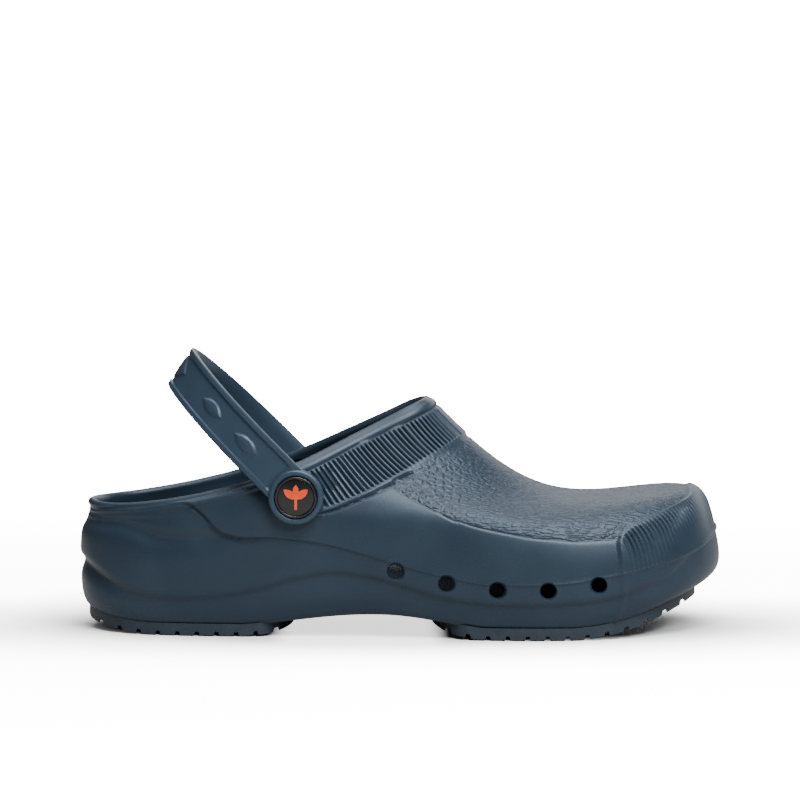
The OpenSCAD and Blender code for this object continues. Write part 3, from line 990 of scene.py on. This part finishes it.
@dataclass
class ClogBody:
    """The moulded body: shell, collar, vamp, toe cap, bosses, bores and vents.

    band_rows holds the number of rows between each two of the relief's guide lines.
    """

    surface: ClogSurface
    axle: Axle
    vent_d: float = 6.5
    vent_x: tuple = (-2, 20, 42, 64, 86)
    vent_low_x: float = 54.0
    vent_rise: float = 0.0025
    vent_flare: float = 0.7
    over_insole: float = 2.2
    insole_t: float = 4.5
    boss_d: float = 22.0
    bore_r: float = 4.1
    pocket_gap: float = 0.8
    rib_lean: float = 0.3
    smooth_angle: float = 50.0
    lip_rows: int = 9
    inner_rows: int = 11
    band_rows: tuple = (18, 17, 17, 27, 32)

    def column_places(self) -> Array:
        """Places of the columns round half the body: close together where there are ribs.

        Returns:
            The t of each column.
        """
        toe = float(self.surface.toe)
        parts = [(0, 3.2, 34), (3.2, 4.1, 36), (4.1, 5, 14), (5, 9, 132), (9, 10.9, 108), (10.9, toe, 22)]
        return np.concatenate([np.linspace(a, b, n, endpoint=False) for a, b, n in parts] + [[toe]])

    def row_places(self) -> Array:
        """Places of the rows as guide number plus share, closer together near the guides.

        Returns:
            The guide number and share of each row.
        """
        places = []
        for guide, count in enumerate(self.band_rows):
            f = np.linspace(0, 1, count, endpoint=False)
            places.append(guide + (f + (1 - np.cos(np.pi * f)) / 2) / 2)
        return np.concatenate([*places, [len(self.band_rows)]])

    def counts(self, t: Array) -> tuple:
        """Counts of collar ribs and of toe cap ribs up to each column.

        Each is the length of a line along the surface divided by the ribs' pitch.

        Args:
            t: Places of the columns.

        Returns:
            The two counts.
        """
        relief = Relief(self.surface)
        result = []
        for v, pitch in ((6.9, relief.rib_pitch), (3.65, relief.cap_pitch)):
            p = self.surface.frame_at(t, np.full_like(t, v))[0]
            run = np.concatenate([[0], np.cumsum(np.linalg.norm(np.diff(p, axis=0), axis=1))])
            result.append((run - run[-1]) / pitch)
        return tuple(result)

    def outer_places(self, columns: Array) -> tuple:
        """The (t, v) of each grid point of the outer face, columns by rows.

        Rows run between the relief's guide lines. Columns lean back at the rim, so that the
        ribs stand square to it.

        Args:
            columns: Places of the columns.

        Returns:
            The t and the v of each point.
        """
        rows = self.row_places()
        lean = 1 - smooth_step((columns - 5.8) / 3.0)
        lean = self.rib_lean * lean * smooth_step((columns - 3.6) / 1.4)
        height = smooth_step((rows - 3.3) / 1.5)
        t = columns[:, None] + lean[:, None] * (height[None, :] - 0.5) * smooth_step(rows[None, :] / 2.5)
        guides = np.stack(Relief(self.surface).guides(t))
        below = np.minimum(np.floor(rows).astype(int), len(guides) - 2)
        pick = (np.broadcast_to(below, t.shape), *np.indices(t.shape))
        low, high = guides[pick], guides[(pick[0] + 1, *pick[1:])]
        return t, low + (rows - below)[None, :] * (high - low)

    def half_grid(self) -> tuple:
        """Points and grain mask of the half body, columns by rows.

        The rows go up the outer face, over the lip in half a turn, down the inner face to
        its foot and in over the floor's edge.

        Returns:
            Points and the grain mask.
        """
        surface, columns = self.surface, self.column_places()
        t, v = self.outer_places(columns)
        base = surface.frame_at(t, v)[0]
        steps = np.linalg.norm(np.diff(base, axis=1), axis=2)
        run = np.concatenate([np.zeros((len(columns), 1)), np.cumsum(steps, 1)], 1)
        edge_s = run[:, -1:] - run
        rib, cap = (np.broadcast_to(count[:, None], t.shape) for count in self.counts(columns))
        outer, n, grain = Relief(surface).build(t, v, rib, cap, edge_s)
        last, under = base[:, -1], base[:, -4]
        up = (last - under) / np.linalg.norm(last - under, axis=1)[:, None]
        side, r = n[:, -1], surface.wall / 2
        middle = last - r * side
        turn = np.pi * np.arange(1, self.lip_rows) / self.lip_rows
        lip = middle[:, None] + r * (
            np.cos(turn)[None, :, None] * side[:, None] + np.sin(turn)[None, :, None] * up[:, None]
        )
        top_t = t[:, -1]
        foot = surface.wall_foot_v(top_t)
        share = np.linspace(0, 1, self.inner_rows + 1)[None, :]
        inner_v = surface.top + (foot[:, None] - surface.top) * share
        p, _, _, inner_n = surface.frame_at(np.broadcast_to(top_t[:, None], inner_v.shape), inner_v)
        inner = p - surface.wall * inner_n
        edge = surface.floor_edge(top_t)[:, None]
        points = np.concatenate([outer, lip, inner, edge], 1)
        mask = np.zeros(points.shape[:2])
        mask[:, : grain.shape[1]] = grain
        return points, mask

    def build(self) -> bpy.types.Object:
        """Builds the body's one closed mesh and cuts its bores and vents.

        Returns:
            The body.
        """
        half, mask = self.half_grid()
        mirrored = half[-2:0:-1] * [1, -1, 1]
        points = self.surface.swung(np.concatenate([half, mirrored]))
        mask = np.concatenate([mask, mask[-2:0:-1]])
        count, rows = points.shape[:2]
        faces = grid_faces(count, rows, True, False)
        for row, turned in ((0, False), (rows - 1, True)):
            faces += self.ladder(count, rows, row, turned)
        obj = make_object("clog_shell", points.reshape(-1, 3), faces, self.smooth_angle, mask.ravel())
        for side in Side:
            combine(obj, self.boss(side), "UNION")
        for side in Side:
            combine(obj, self.bores(side), "DIFFERENCE")
        for side in Side:
            for x in self.vent_x:
                combine(obj, self.vent(side, x), "DIFFERENCE")
        shade(obj, self.smooth_angle)
        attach(obj, "clog")
        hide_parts("clog_body")
        obj.data.materials.clear()
        obj.data.materials.append(MouldedFoam().build())
        return obj

    def ladder(self, count: int, rows: int, row: int, turned: bool) -> list:
        """Flat strips across the body that close one end row.

        Args:
            count: Number of columns round the body.
            rows: Points in each column.
            row: The row that is closed.
            turned: Whether the strips face up.

        Returns:
            The strips as faces.
        """
        half = count // 2
        faces = []
        for i in range(half):
            near, far = (count - i) % count, count - i - 1
            strip = list(dict.fromkeys([i, near, far, i + 1]))
            face = [c * rows + row for c in strip]
            faces.append(face[::-1] if turned else face)
        return faces

    def boss(self, side: Side) -> bpy.types.Object:
        """Round boss that carries the rivet on one side, its outer edge eased.

        Args:
            side: The side it is on.

        Returns:
            The boss.
        """
        axle, r = self.axle, self.boss_d / 2
        corners = [(0.01, axle.snap_face), (r, axle.snap_face), (r, axle.boss_face), (0.01, axle.boss_face)]
        return lathe("boss", rounded(corners, [0, 0.5, 0.6, 0]), axle.centre, side)

    def bores(self, side: Side) -> bpy.types.Object:
        """Stepped cutter for one side: the shank's bore and the pocket for the snap.

        Args:
            side: The side it is on.

        Returns:
            The cutter.
        """
        axle = self.axle
        shank, pocket = self.bore_r, axle.snap_r + self.pocket_gap
        corners = [(0.01, axle.snap_face - 8), (pocket, axle.snap_face - 8), (pocket, axle.snap_face),
                   (shank, axle.snap_face), (shank, axle.boss_face + 4), (0.01, axle.boss_face + 4)]
        return lathe("bores", rounded(corners, [0] * 6), axle.centre, side)

    def vent_z(self, x: float) -> float:
        """Height of the vent at x: a shallow parabola above the insole."""
        lowest = self.surface.ball_floor + self.insole_t + self.over_insole + self.vent_d / 2
        return lowest + self.vent_rise * (x - self.vent_low_x) ** 2

    def vent(self, side: Side, x: float) -> bpy.types.Object:
        """Cutter of one ventilation hole, flared where it meets the outer face.

        Args:
            side: The side it is on.
            x: Its place along the clog.

        Returns:
            The cutter.
        """
        r, flare, z = self.vent_d / 2, self.vent_flare, self.vent_z(x)
        t = np.repeat(np.linspace(5, 10, 120), 60)
        v = np.tile(np.linspace(0.8, 3, 60), 120)
        p = self.surface.frame_at(t, v)[0]
        nearest = p[np.argmin((p[:, 0] - x) ** 2 + (p[:, 2] - z) ** 2)]
        swing = float(self.surface.along(self.surface.swing_line, np.array(x)))
        wall = abs(nearest[1]) + side.value * swing
        corners = [(0.01, wall - 12), (r, wall - 12), (r, wall - 1.1), (r + flare, wall + 0.1),
                   (r + flare + 2, wall + 2.5), (0.01, wall + 2.5)]
        profile = rounded(corners, [0, 0, 0.8, 0.4, 0, 0])
        return lathe("vent", profile, np.array([x, 0.0, z]), side, 40)


@dataclass
class Insole:
    """Removable insole: a foam bed on the floor with a soft rounded edge."""

    surface: ClogSurface
    thick: float = 4.5
    gap: float = 0.8
    lay_gap: float = 0.03
    half_width: float = 43.2
    edge_r: float = 3.0
    edge_t: float = 0.25
    stations: int = 160
    across: int = 48

    def build(self) -> bpy.types.Object:
        """Builds the insole.

        Along the floor's edge at t the bed spans from one side to the other; its thickness
        is full in the middle and rounds off over the last few millimetres.

        Returns:
            The insole.
        """
        t = 6 - 6 * np.cos(np.linspace(0, np.pi, self.stations))
        edge = self.surface.floor_edge(t)
        x = edge[:, 0] * (1 - self.gap / abs(edge[0, 0]))
        half = np.abs(edge[:, 1]) * (1 - self.gap / self.half_width)
        w = np.sin(np.linspace(-np.pi / 2, np.pi / 2, self.across))
        y = half[:, None] * w[None, :]
        ends = np.minimum(x - x[0], x[-1] - x)
        rim = np.minimum((1 - np.abs(w))[None, :] * np.maximum(half[:, None], 1e-6), ends[:, None])
        ease = np.sqrt(np.clip(1 - (1 - np.clip(rim / self.edge_r, 0, 1)) ** 2, 0, 1))
        bed = self.surface.floor_z(x)[:, None] + self.lay_gap + 0 * y
        crown = self.thick * (self.edge_t + (1 - self.edge_t) * ease)
        low = np.stack([x[:, None] + 0 * y, y, bed], -1)
        high = np.stack([x[:, None] + 0 * y, y, bed + crown], -1)
        rings = self.surface.swung(np.concatenate([low, high[:, ::-1]], 1))
        obj = loft("insole_bed", rings, 60)
        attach(obj, "clog")
        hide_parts("insole")
        obj.data.materials.append(InsoleFoam().build())
        return obj


@dataclass
class HeelStrap:
    """Heel strap: a channelled band with lens-shaped bumps, and an eye at each end."""

    axle: Axle
    reach: float = 75.0
    width: float = 19.0
    bend_width: float = 19.5
    shift: float = 0.75
    thick: float = 3.6
    eye_d: float = 24.0
    hollow_gap: float = 0.3
    angle: float = 45.0
    lean: float = 11.0
    drawn_reach: float = 75.4
    overrun: float = 0.9
    edge_r: float = 0.9
    edge_drop: float = 0.8
    channel: float = 0.85
    border: float = 2.3
    bore_r: float = 4.06
    arm_lenses: tuple = (31.2, 52.2)
    arm_lens: tuple = (7.0, 3.0)
    bend_lens: tuple = (14.0, 5.8)
    stations: int = 300

    def path(self, count: int) -> tuple:
        """Middle line of the band, seen down its width, and its inward direction.

        It is the same open spline as the strap's solid: out along one arm, round the bend
        behind the heel and back along the other.

        Args:
            count: Number of points.

        Returns:
            Points (distance from the pivot, distance from the middle plane), unit inward
            directions, and the length run at each point.
        """
        m = self.axle.eye_face + self.thick / 2
        half = np.array([(0, m), (10, m), (20, m), (33, m - 1.5), (47, m - 7), (60, m - 17), (70, m - 30)])
        half[:, 0] *= self.reach / self.drawn_reach
        bend = [(self.reach + self.overrun, 0)]
        net = open_ends(np.concatenate([half, bend, half[::-1] * [1, -1]]))
        spans = len(net) - 3
        t = np.linspace(0, spans, count)
        i = np.minimum(np.floor(t).astype(int), spans - 1)
        w, dw = weights(t - i), slopes(t - i)
        p = sum(w[k][:, None] * net[i + k] for k in range(4))
        d = sum(dw[k][:, None] * net[i + k] for k in range(4))
        d /= np.linalg.norm(d, axis=1)[:, None]
        run = np.concatenate([[0], np.cumsum(np.linalg.norm(np.diff(p, axis=0), axis=1))])
        return p, np.stack([d[:, 1], -d[:, 0]], 1), run

    def section(self) -> tuple:
        """Outline of the band's cross-section: once across outside and back inside.

        Returns:
            Shares of the half-width from -1 to 1, and whether a point is on the outside.
        """
        wide = np.linspace(-1, 1, 41)
        across = np.concatenate([wide, np.linspace(1, -1, 9)])
        outside = np.concatenate([np.full(41, True), np.full(9, False)])
        return across, outside

    def build(self) -> bpy.types.Object:
        """Builds the band, joins its eyes to it and bores them.

        Across the band the depth is half the thickness, less the channel inside the border
        and plus the lenses; a quarter round eases each edge.

        Returns:
            The strap.
        """
        p, inward, run = self.path(self.stations)
        across, outside = self.section()
        share = np.clip((p[:, 0] - self.eye_d / 2) / (self.reach - self.eye_d / 2), 0, None) ** 2
        half = (self.width + (self.bend_width - self.width) * share) / 2
        tilt = np.tan(np.radians(self.lean * share))
        w = across[None, :] * half[:, None]
        from_edge = half[:, None] - np.abs(w)
        soft = 1 - np.sqrt(np.clip(1 - (1 - np.clip(from_edge / self.edge_r, 0, 1)) ** 2, 0, 1))
        eye_fade = smooth_step((p[:, 0] - 9) / 4)[:, None]
        channel = smooth_step((from_edge - self.border) / 0.7) * self.channel * eye_fade
        face = self.thick / 2 - self.edge_drop * soft
        depth = np.where(outside[None, :], channel - self.lenses(w, p, run) - face, face)
        offset = depth + w * tilt[:, None]
        q = p[:, None, :] + inward[:, None, :] * offset[..., None]
        turn = np.radians(180 + self.angle)
        lx, lz = q[..., 0], w - self.shift
        x = self.axle.centre[0] + lx * np.cos(turn) + lz * np.sin(turn)
        z = self.axle.centre[2] - lx * np.sin(turn) + lz * np.cos(turn)
        obj = loft("strap_band", np.stack([x, q[..., 1], z], -1), 50)
        for side in Side:
            combine(obj, self.eye(side), "UNION")
        for side in Side:
            combine(obj, self.recess(side), "DIFFERENCE")
        shade(obj, 38)
        # painted light: the strap's foam is a lighter copy of the body's, standing in for the light on the
        # strap's face
        color, worn = (0.020, 0.034, 0.053, 1), (0.024, 0.040, 0.061, 1)
        finish = MouldedFoam("strap_rubber", color, worn, roughness=0.34, grained=False)
        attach(obj, "strap")
        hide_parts("heel_strap")
        obj.data.materials.clear()
        obj.data.materials.append(finish.build())
        return obj

    def lenses(self, w: Array, p: Array, run: Array) -> Array:
        """Height of the lens-shaped bumps on the band's outer face.

        A lens is where the distance across is less than its half-width times one minus the
        square of the share along it; its edge is a short step.

        Args:
            w: Distance across the band.
            p: Points of the middle line.
            run: Length run along the middle line.

        Returns:
            The height.
        """
        arm = np.interp(self.arm_lenses, p[: len(p) // 2, 0], run[: len(p) // 2])
        places = [(place, *self.arm_lens) for place in (*arm, *(run[-1] - arm))]
        height = np.zeros_like(w)
        for place, long, wide in [*places, (run[-1] / 2, *self.bend_lens)]:
            along = (run - place)[:, None] / long
            inside = wide * (1 - along**2) - np.abs(w)
            crown = smooth_step(inside / 0.8) * (0.55 + 0.35 * np.clip(inside / wide, 0, 1))
            height += crown * (np.abs(along) < 1)
        return height

    def eye(self, side: Side) -> bpy.types.Object:
        """Round eye of the strap: a ring with a rounded crown and a hollow for the rivet.

        Args:
            side: The side it is on.

        Returns:
            The eye.
        """
        axle, r = self.axle, self.eye_d / 2
        top, hollow = axle.eye_top, axle.head_r + self.hollow_gap
        corners = [(0.01, axle.eye_face), (r, axle.eye_face), (r, top), (hollow, top),
                   (hollow, axle.recess_face), (0.01, axle.recess_face)]
        profile = rounded(corners, [0, 0.7, 1.6, 0.9, 0.2, 0], 8)
        return lathe("eye", profile, axle.centre, side, 128)

    def recess(self, side: Side) -> bpy.types.Object:
        """Cutter for the rivet's head and shank.

        Args:
            side: The side it is on.

        Returns:
            The cutter.
        """
        axle, bore = self.axle, self.bore_r
        hollow = axle.head_r + self.hollow_gap - 0.02
        corners = [(0.01, axle.eye_face - 2), (bore, axle.eye_face - 2), (bore, axle.recess_face),
                   (hollow, axle.recess_face), (hollow, axle.eye_top + 3), (0.01, axle.eye_top + 3)]
        return lathe("recess", rounded(corners, [0] * 6), axle.centre, side, 128)


@dataclass
class Rivets:
    """The two rivets: button with shank, snap inside the shoe, badge and emblem."""

    axle: Axle
    finishes: dict
    shank_r: float = 4.0
    ring: float = 1.0
    disc_t: float = 0.8

    def piece(self, name: str, corners: list, radii: list, side: Side, node: str, slot: str) -> None:
        """Turns one round piece and dresses it.

        Args:
            name: Name of the piece.
            corners: Its outline, (radius, distance out).
            radii: Rounding at each corner.
            side: The side it is on.
            node: The solid it stands for.
            slot: Its finish.
        """
        obj = lathe(name, rounded(corners, radii, 8), self.axle.centre, side)
        obj.data.materials.append(self.finishes[slot])
        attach(obj, "clog")
        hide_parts(node)
        log.info("%s: %d faces", name, len(obj.data.polygons))

    def build(self) -> None:
        """Builds both rivets, and gives the emblems, which stay solids of the frame, their ink."""
        axle, head, shank = self.axle, self.axle.head_r, self.shank_r
        snap, badge = axle.snap_r, axle.head_r - self.ring
        end = axle.snap_top + 1.2
        disc = axle.badge_face + self.disc_t
        for side in Side:
            name = side.name.lower()
            button = [(0.01, end), (shank, end), (shank, axle.head_face), (head, axle.head_face),
                      (head, axle.head_top), (badge, axle.head_top), (badge, axle.badge_face),
                      (0.01, axle.badge_face)]
            self.piece(f"{name}_button", button, [0, 0.6, 0.2, 0.5, 0.5, 0.4, 0, 0], side,
                       f"{name}_rivet_button", "rivet_plastic")
            dome = [(0.01, axle.badge_face), (badge - 0.1, axle.badge_face), (badge - 0.1, disc - 0.08),
                    (0.01, disc)]
            self.piece(f"{name}_badge_disc", dome, [0, 0, 0.3, 0], side, f"{name}_badge", "badge_plastic")
            cap = [(shank + 0.01, axle.snap_top), (snap, axle.snap_top), (snap, axle.snap_face),
                   (shank + 0.01, axle.snap_face)]
            self.piece(f"{name}_snap_ring", cap, [0.5, 1.4, 0.5, 0], side,
                       f"{name}_rivet_snap", "rivet_plastic")
            emblem = frame["nodes"][f"{name}_emblem"]
            emblem.data.materials.clear()
            emblem.data.materials.append(self.finishes["emblem_ink"])


@dataclass
class OutsolePad:
    """One rubber pad under the body, with rounded lugs."""

    surface: ClogSurface
    name: str
    node: str
    span: tuple
    arch_x: float
    round_r: float = 16.0
    proud: float = 0.6
    lip: float = 1.1
    pitch: float = 8.6
    groove_w: float = 2.0
    groove_depth: float = 1.7
    side_lug: float = 15.0
    stations: int = 340
    across: int = 61
    crowding: float = 0.4

    def grooves(self, x: Array, y: Array, half: Array) -> Array:
        """How deep the pad's underside is cut.

        Cross grooves lie between the lugs of each side, a groove runs inside each row of
        lugs, and the bars between those two have grooves half a pitch further on.

        Args:
            x: Places along the clog.
            y: Places across it.
            half: Half the pad's width at x.

        Returns:
            The depth in millimetres.
        """
        first = self.span[0] + 0.7 * self.pitch + self.groove_w / 2

        def cut(distance: Array) -> Array:
            """1 inside a groove's width, easing to 0 at its edges."""
            return smooth_step((self.groove_w / 2 - distance) / 0.5 + 0.5)

        phase = (x - first) / self.pitch
        near = np.abs(phase - np.round(phase)) * self.pitch
        middle = np.abs(phase + 0.5 - np.round(phase + 0.5)) * self.pitch
        from_edge = half - np.abs(y)
        side = smooth_step((self.side_lug - from_edge) / 0.6 + 0.5)
        lane = cut(np.abs(from_edge - self.side_lug)) * (half > self.side_lug + 4)
        bars = cut(middle) * (1 - side)
        return self.groove_depth * np.maximum(np.maximum(cut(near) * side, lane), bars)

    def build(self, finish: bpy.types.Material) -> bpy.types.Object:
        """Builds the pad: its outline is the sole's, a little proud of it.

        The end under the arch is a quarter ellipse on each side. The upper edge turns up
        under the body's bulge, and the lower one is eased.

        Args:
            finish: The pad's material.

        Returns:
            The pad.
        """
        t = np.linspace(0, self.surface.toe, 400)
        sole = self.surface.frame_at(t, np.zeros_like(t))[0]
        x = np.linspace(*self.span, self.stations)
        near_end = np.maximum(0, 1 - np.abs(x - self.arch_x) / self.round_r)
        half = (np.interp(x, sole[:, 0], np.abs(sole[:, 1])) + self.proud) * np.sqrt(1 - near_end**2)
        half = np.maximum(half, 0.05)
        w = np.sin(np.linspace(-np.pi / 2, np.pi / 2, self.across)) * self.crowding
        w += (1 - self.crowding) * np.linspace(-1, 1, self.across)
        y = half[:, None] * w[None, :]
        grid_x = x[:, None] + 0 * y
        top = np.interp(x, sole[:, 0], sole[:, 2])[:, None] + 0 * y
        rim = smooth_step((half[:, None] - np.abs(y)) / 0.9 + 0.15)
        bottom = top - self.surface.pad_t
        top = top + self.lip * (np.abs(w) == 1)
        low = bottom + 0.5 * (1 - rim) + self.grooves(grid_x, y, half[:, None])
        back = slice(None, None, -6)
        under = np.stack([grid_x, y, low], -1)
        over = np.stack([grid_x[:, back], y[:, back], top[:, back]], -1)
        rings = self.surface.swung(np.concatenate([under, over], 1))
        obj = loft(self.name, rings, 45)
        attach(obj, "clog")
        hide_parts(self.node)
        obj.data.materials.append(finish)
        return obj


# ---------------------------------------------------------------- studio


@dataclass
class Studio:
    """Pale floor, soft lights and the camera."""

    target: tuple = (0.0002, 0.0, 0.1007)
    distance: float = 1.4
    elevation: float = 4.5
    lens: float = 141.6
    ambient: float = 0.10
    backdrop: float = 18.0
    floor_shade: float = 0.40
    arch: float = 0.018
    floor_near: float = 0.9
    floor_seen: float = 5.0
    floor_glow: float = 18.0
    arch_glow: float = 0.09
    arch_reach: tuple = (0.0008, 0.0016)
    contact_reach: tuple = (0.046, 0.07)
    glow_reach: tuple = (0.12, 0.9)
    pale_reach: tuple = (0.05, 0.13)
    softboxes: tuple = (
        ("key_softbox", (0.26, -0.62, 1.12), (0.9, 0.45), 24),
        ("front_softbox", (0.5, -0.9, 0.78), (0.6, 0.2), 11),
        ("top_softbox", (-0.1, 0.2, 1.3), (1.2, 0.8), 16),
        ("back_softbox", (0.3, 1.2, 0.6), (1.4, 0.5), 5),
        ("toe_rim", (1.0, 0.8, 0.4), (0.4, 0.6), 2),
    )

    def build(self) -> None:
        """Builds the floor, world, lights and camera."""
        self.floor()
        self.world()
        for softbox in self.softboxes:
            self.light(*softbox)
        self.camera()

    def floor(self) -> None:
        """A wide pale disc under the clog.

        What the camera sees of it glows white far off and darkens by place towards the clog,
        which draws the soft contact shadow; to all other light it is plain pale grey.
        """
        steps, radius = 96, 40.0
        angle = np.linspace(0, 2 * np.pi, steps, endpoint=False)
        points = np.stack([np.cos(angle), np.sin(angle), 0 * angle], 1) * radius / MM
        obj = make_object("floor", points, [list(range(steps))])
        s = Shader("floor_paint")
        seen = s.node("ShaderNodeLightPath", {}, {}, "Is Camera Ray")
        around = {0: s.mapped((0.36, 1.0, 1.0))}
        far = s.node("ShaderNodeVectorMath", {"operation": "LENGTH"}, around, "Value")
        black, low, shade, near, full, white = (
            (c, c, c, 1) for c in (0, self.arch_glow, self.floor_shade, self.floor_near, self.floor_seen, 1)
        )
        ahead = s.node("ShaderNodeSeparateXYZ", {}, {"Vector": s.place()}, "X") + self.arch
        contact = s.blend(far.clamp(*self.contact_reach), black, low)
        under = s.blend((ahead * ahead).clamp(*self.arch_reach), low, contact)
        glow = s.blend(far.clamp(*self.glow_reach), under, white)
        shine = {"Emission_Color": s.blend(seen, black, glow), "Emission_Strength": self.floor_glow}
        paint = s.blend(seen, shade, s.blend(far.clamp(*self.pale_reach), near, full))
        obj.data.materials.append(s.finish(paint, 0.9, Specular_IOR_Level=0.0, **shine))

    def world(self) -> None:
        """Faint even light from all round, and a white backdrop behind the clog."""
        world = bpy.data.worlds.new("studio")
        world.use_nodes = True
        tree = world.node_tree
        background = tree.nodes["Background"]
        background.inputs["Color"].default_value = (1, 1, 1, 1)
        seen = tree.nodes.new("ShaderNodeLightPath")
        strength = tree.nodes.new("ShaderNodeMapRange")
        strength.inputs["To Min"].default_value = self.ambient
        strength.inputs["To Max"].default_value = self.backdrop
        tree.links.new(seen.outputs["Is Camera Ray"], strength.inputs["Value"])
        tree.links.new(strength.outputs["Result"], background.inputs["Strength"])
        bpy.context.scene.world = world

    def light(self, name: str, place: tuple, size: tuple, power: float) -> None:
        """One rectangular soft light aimed at the clog.

        Args:
            name: Its name.
            place: Its place, in metres.
            size: Its width and height, in metres.
            power: Its power, in watts.
        """
        data = bpy.data.lights.new(name, "AREA")
        data.shape = "RECTANGLE"
        data.size, data.size_y = size
        data.energy = power
        obj = bpy.data.objects.new(name, data)
        obj.location = place
        obj.rotation_euler = (Vector((0, 0, 0.05)) - Vector(place)).to_track_quat("-Z", "Y").to_euler()
        bpy.context.scene.collection.objects.link(obj)

    def camera(self) -> None:
        """The camera, level with the clog's side and a little above it."""
        data = bpy.data.cameras.new("camera")
        data.lens = self.lens
        data.sensor_width = 36
        obj = bpy.data.objects.new("camera", data)
        lift = np.radians(self.elevation)
        out = Vector((0, -np.cos(lift), np.sin(lift)))
        obj.location = Vector(self.target) + out * self.distance
        obj.rotation_euler = (-out).to_track_quat("-Z", "Y").to_euler()
        bpy.context.scene.collection.objects.link(obj)
        bpy.context.scene.camera = obj


def finishes() -> dict:
    """The finishes that several pieces share, by slot.

    Returns:
        The materials by the name of their slot.
    """
    made = [
        PlainRubber("rivet_plastic", (0.006, 0.007, 0.009, 1), (0.010, 0.011, 0.014, 1), 0.22, 0.5, 0.004),
        PlainRubber("badge_plastic", (0.004, 0.004, 0.005, 1), (0.007, 0.007, 0.008, 1), 0.16, 0.4, 0.003),
        PlainRubber("emblem_ink", (0.62, 0.052, 0.004, 1), (0.70, 0.066, 0.007, 1), 0.42, 0.3, 0.01, 3.0),
        PlainRubber("outsole_rubber", (0.010, 0.018, 0.029, 1), (0.014, 0.024, 0.037, 1),
                    0.58, 0.5, 0.05, 9.0),
    ]
    return {finish.name: finish.build() for finish in made}


def main() -> None:
    """Builds the clog's pieces in order, then the studio."""
    logging.basicConfig(level=logging.INFO, format="%(message)s")
    surface, axle, shared = ClogSurface(), Axle(), finishes()
    pieces = [part.build() for part in (ClogBody(surface, axle), Insole(surface), HeelStrap(axle))]
    for name, node, span, arch_x in PADS:
        pieces.append(OutsolePad(surface, name, node, span, arch_x).build(shared["outsole_rubber"]))
    for piece in pieces:
        log.info("%s: %d faces", piece.name, len(piece.data.polygons))
    Rivets(axle, shared).build()
    Studio().build()


if __name__ == "__main__":
    main()
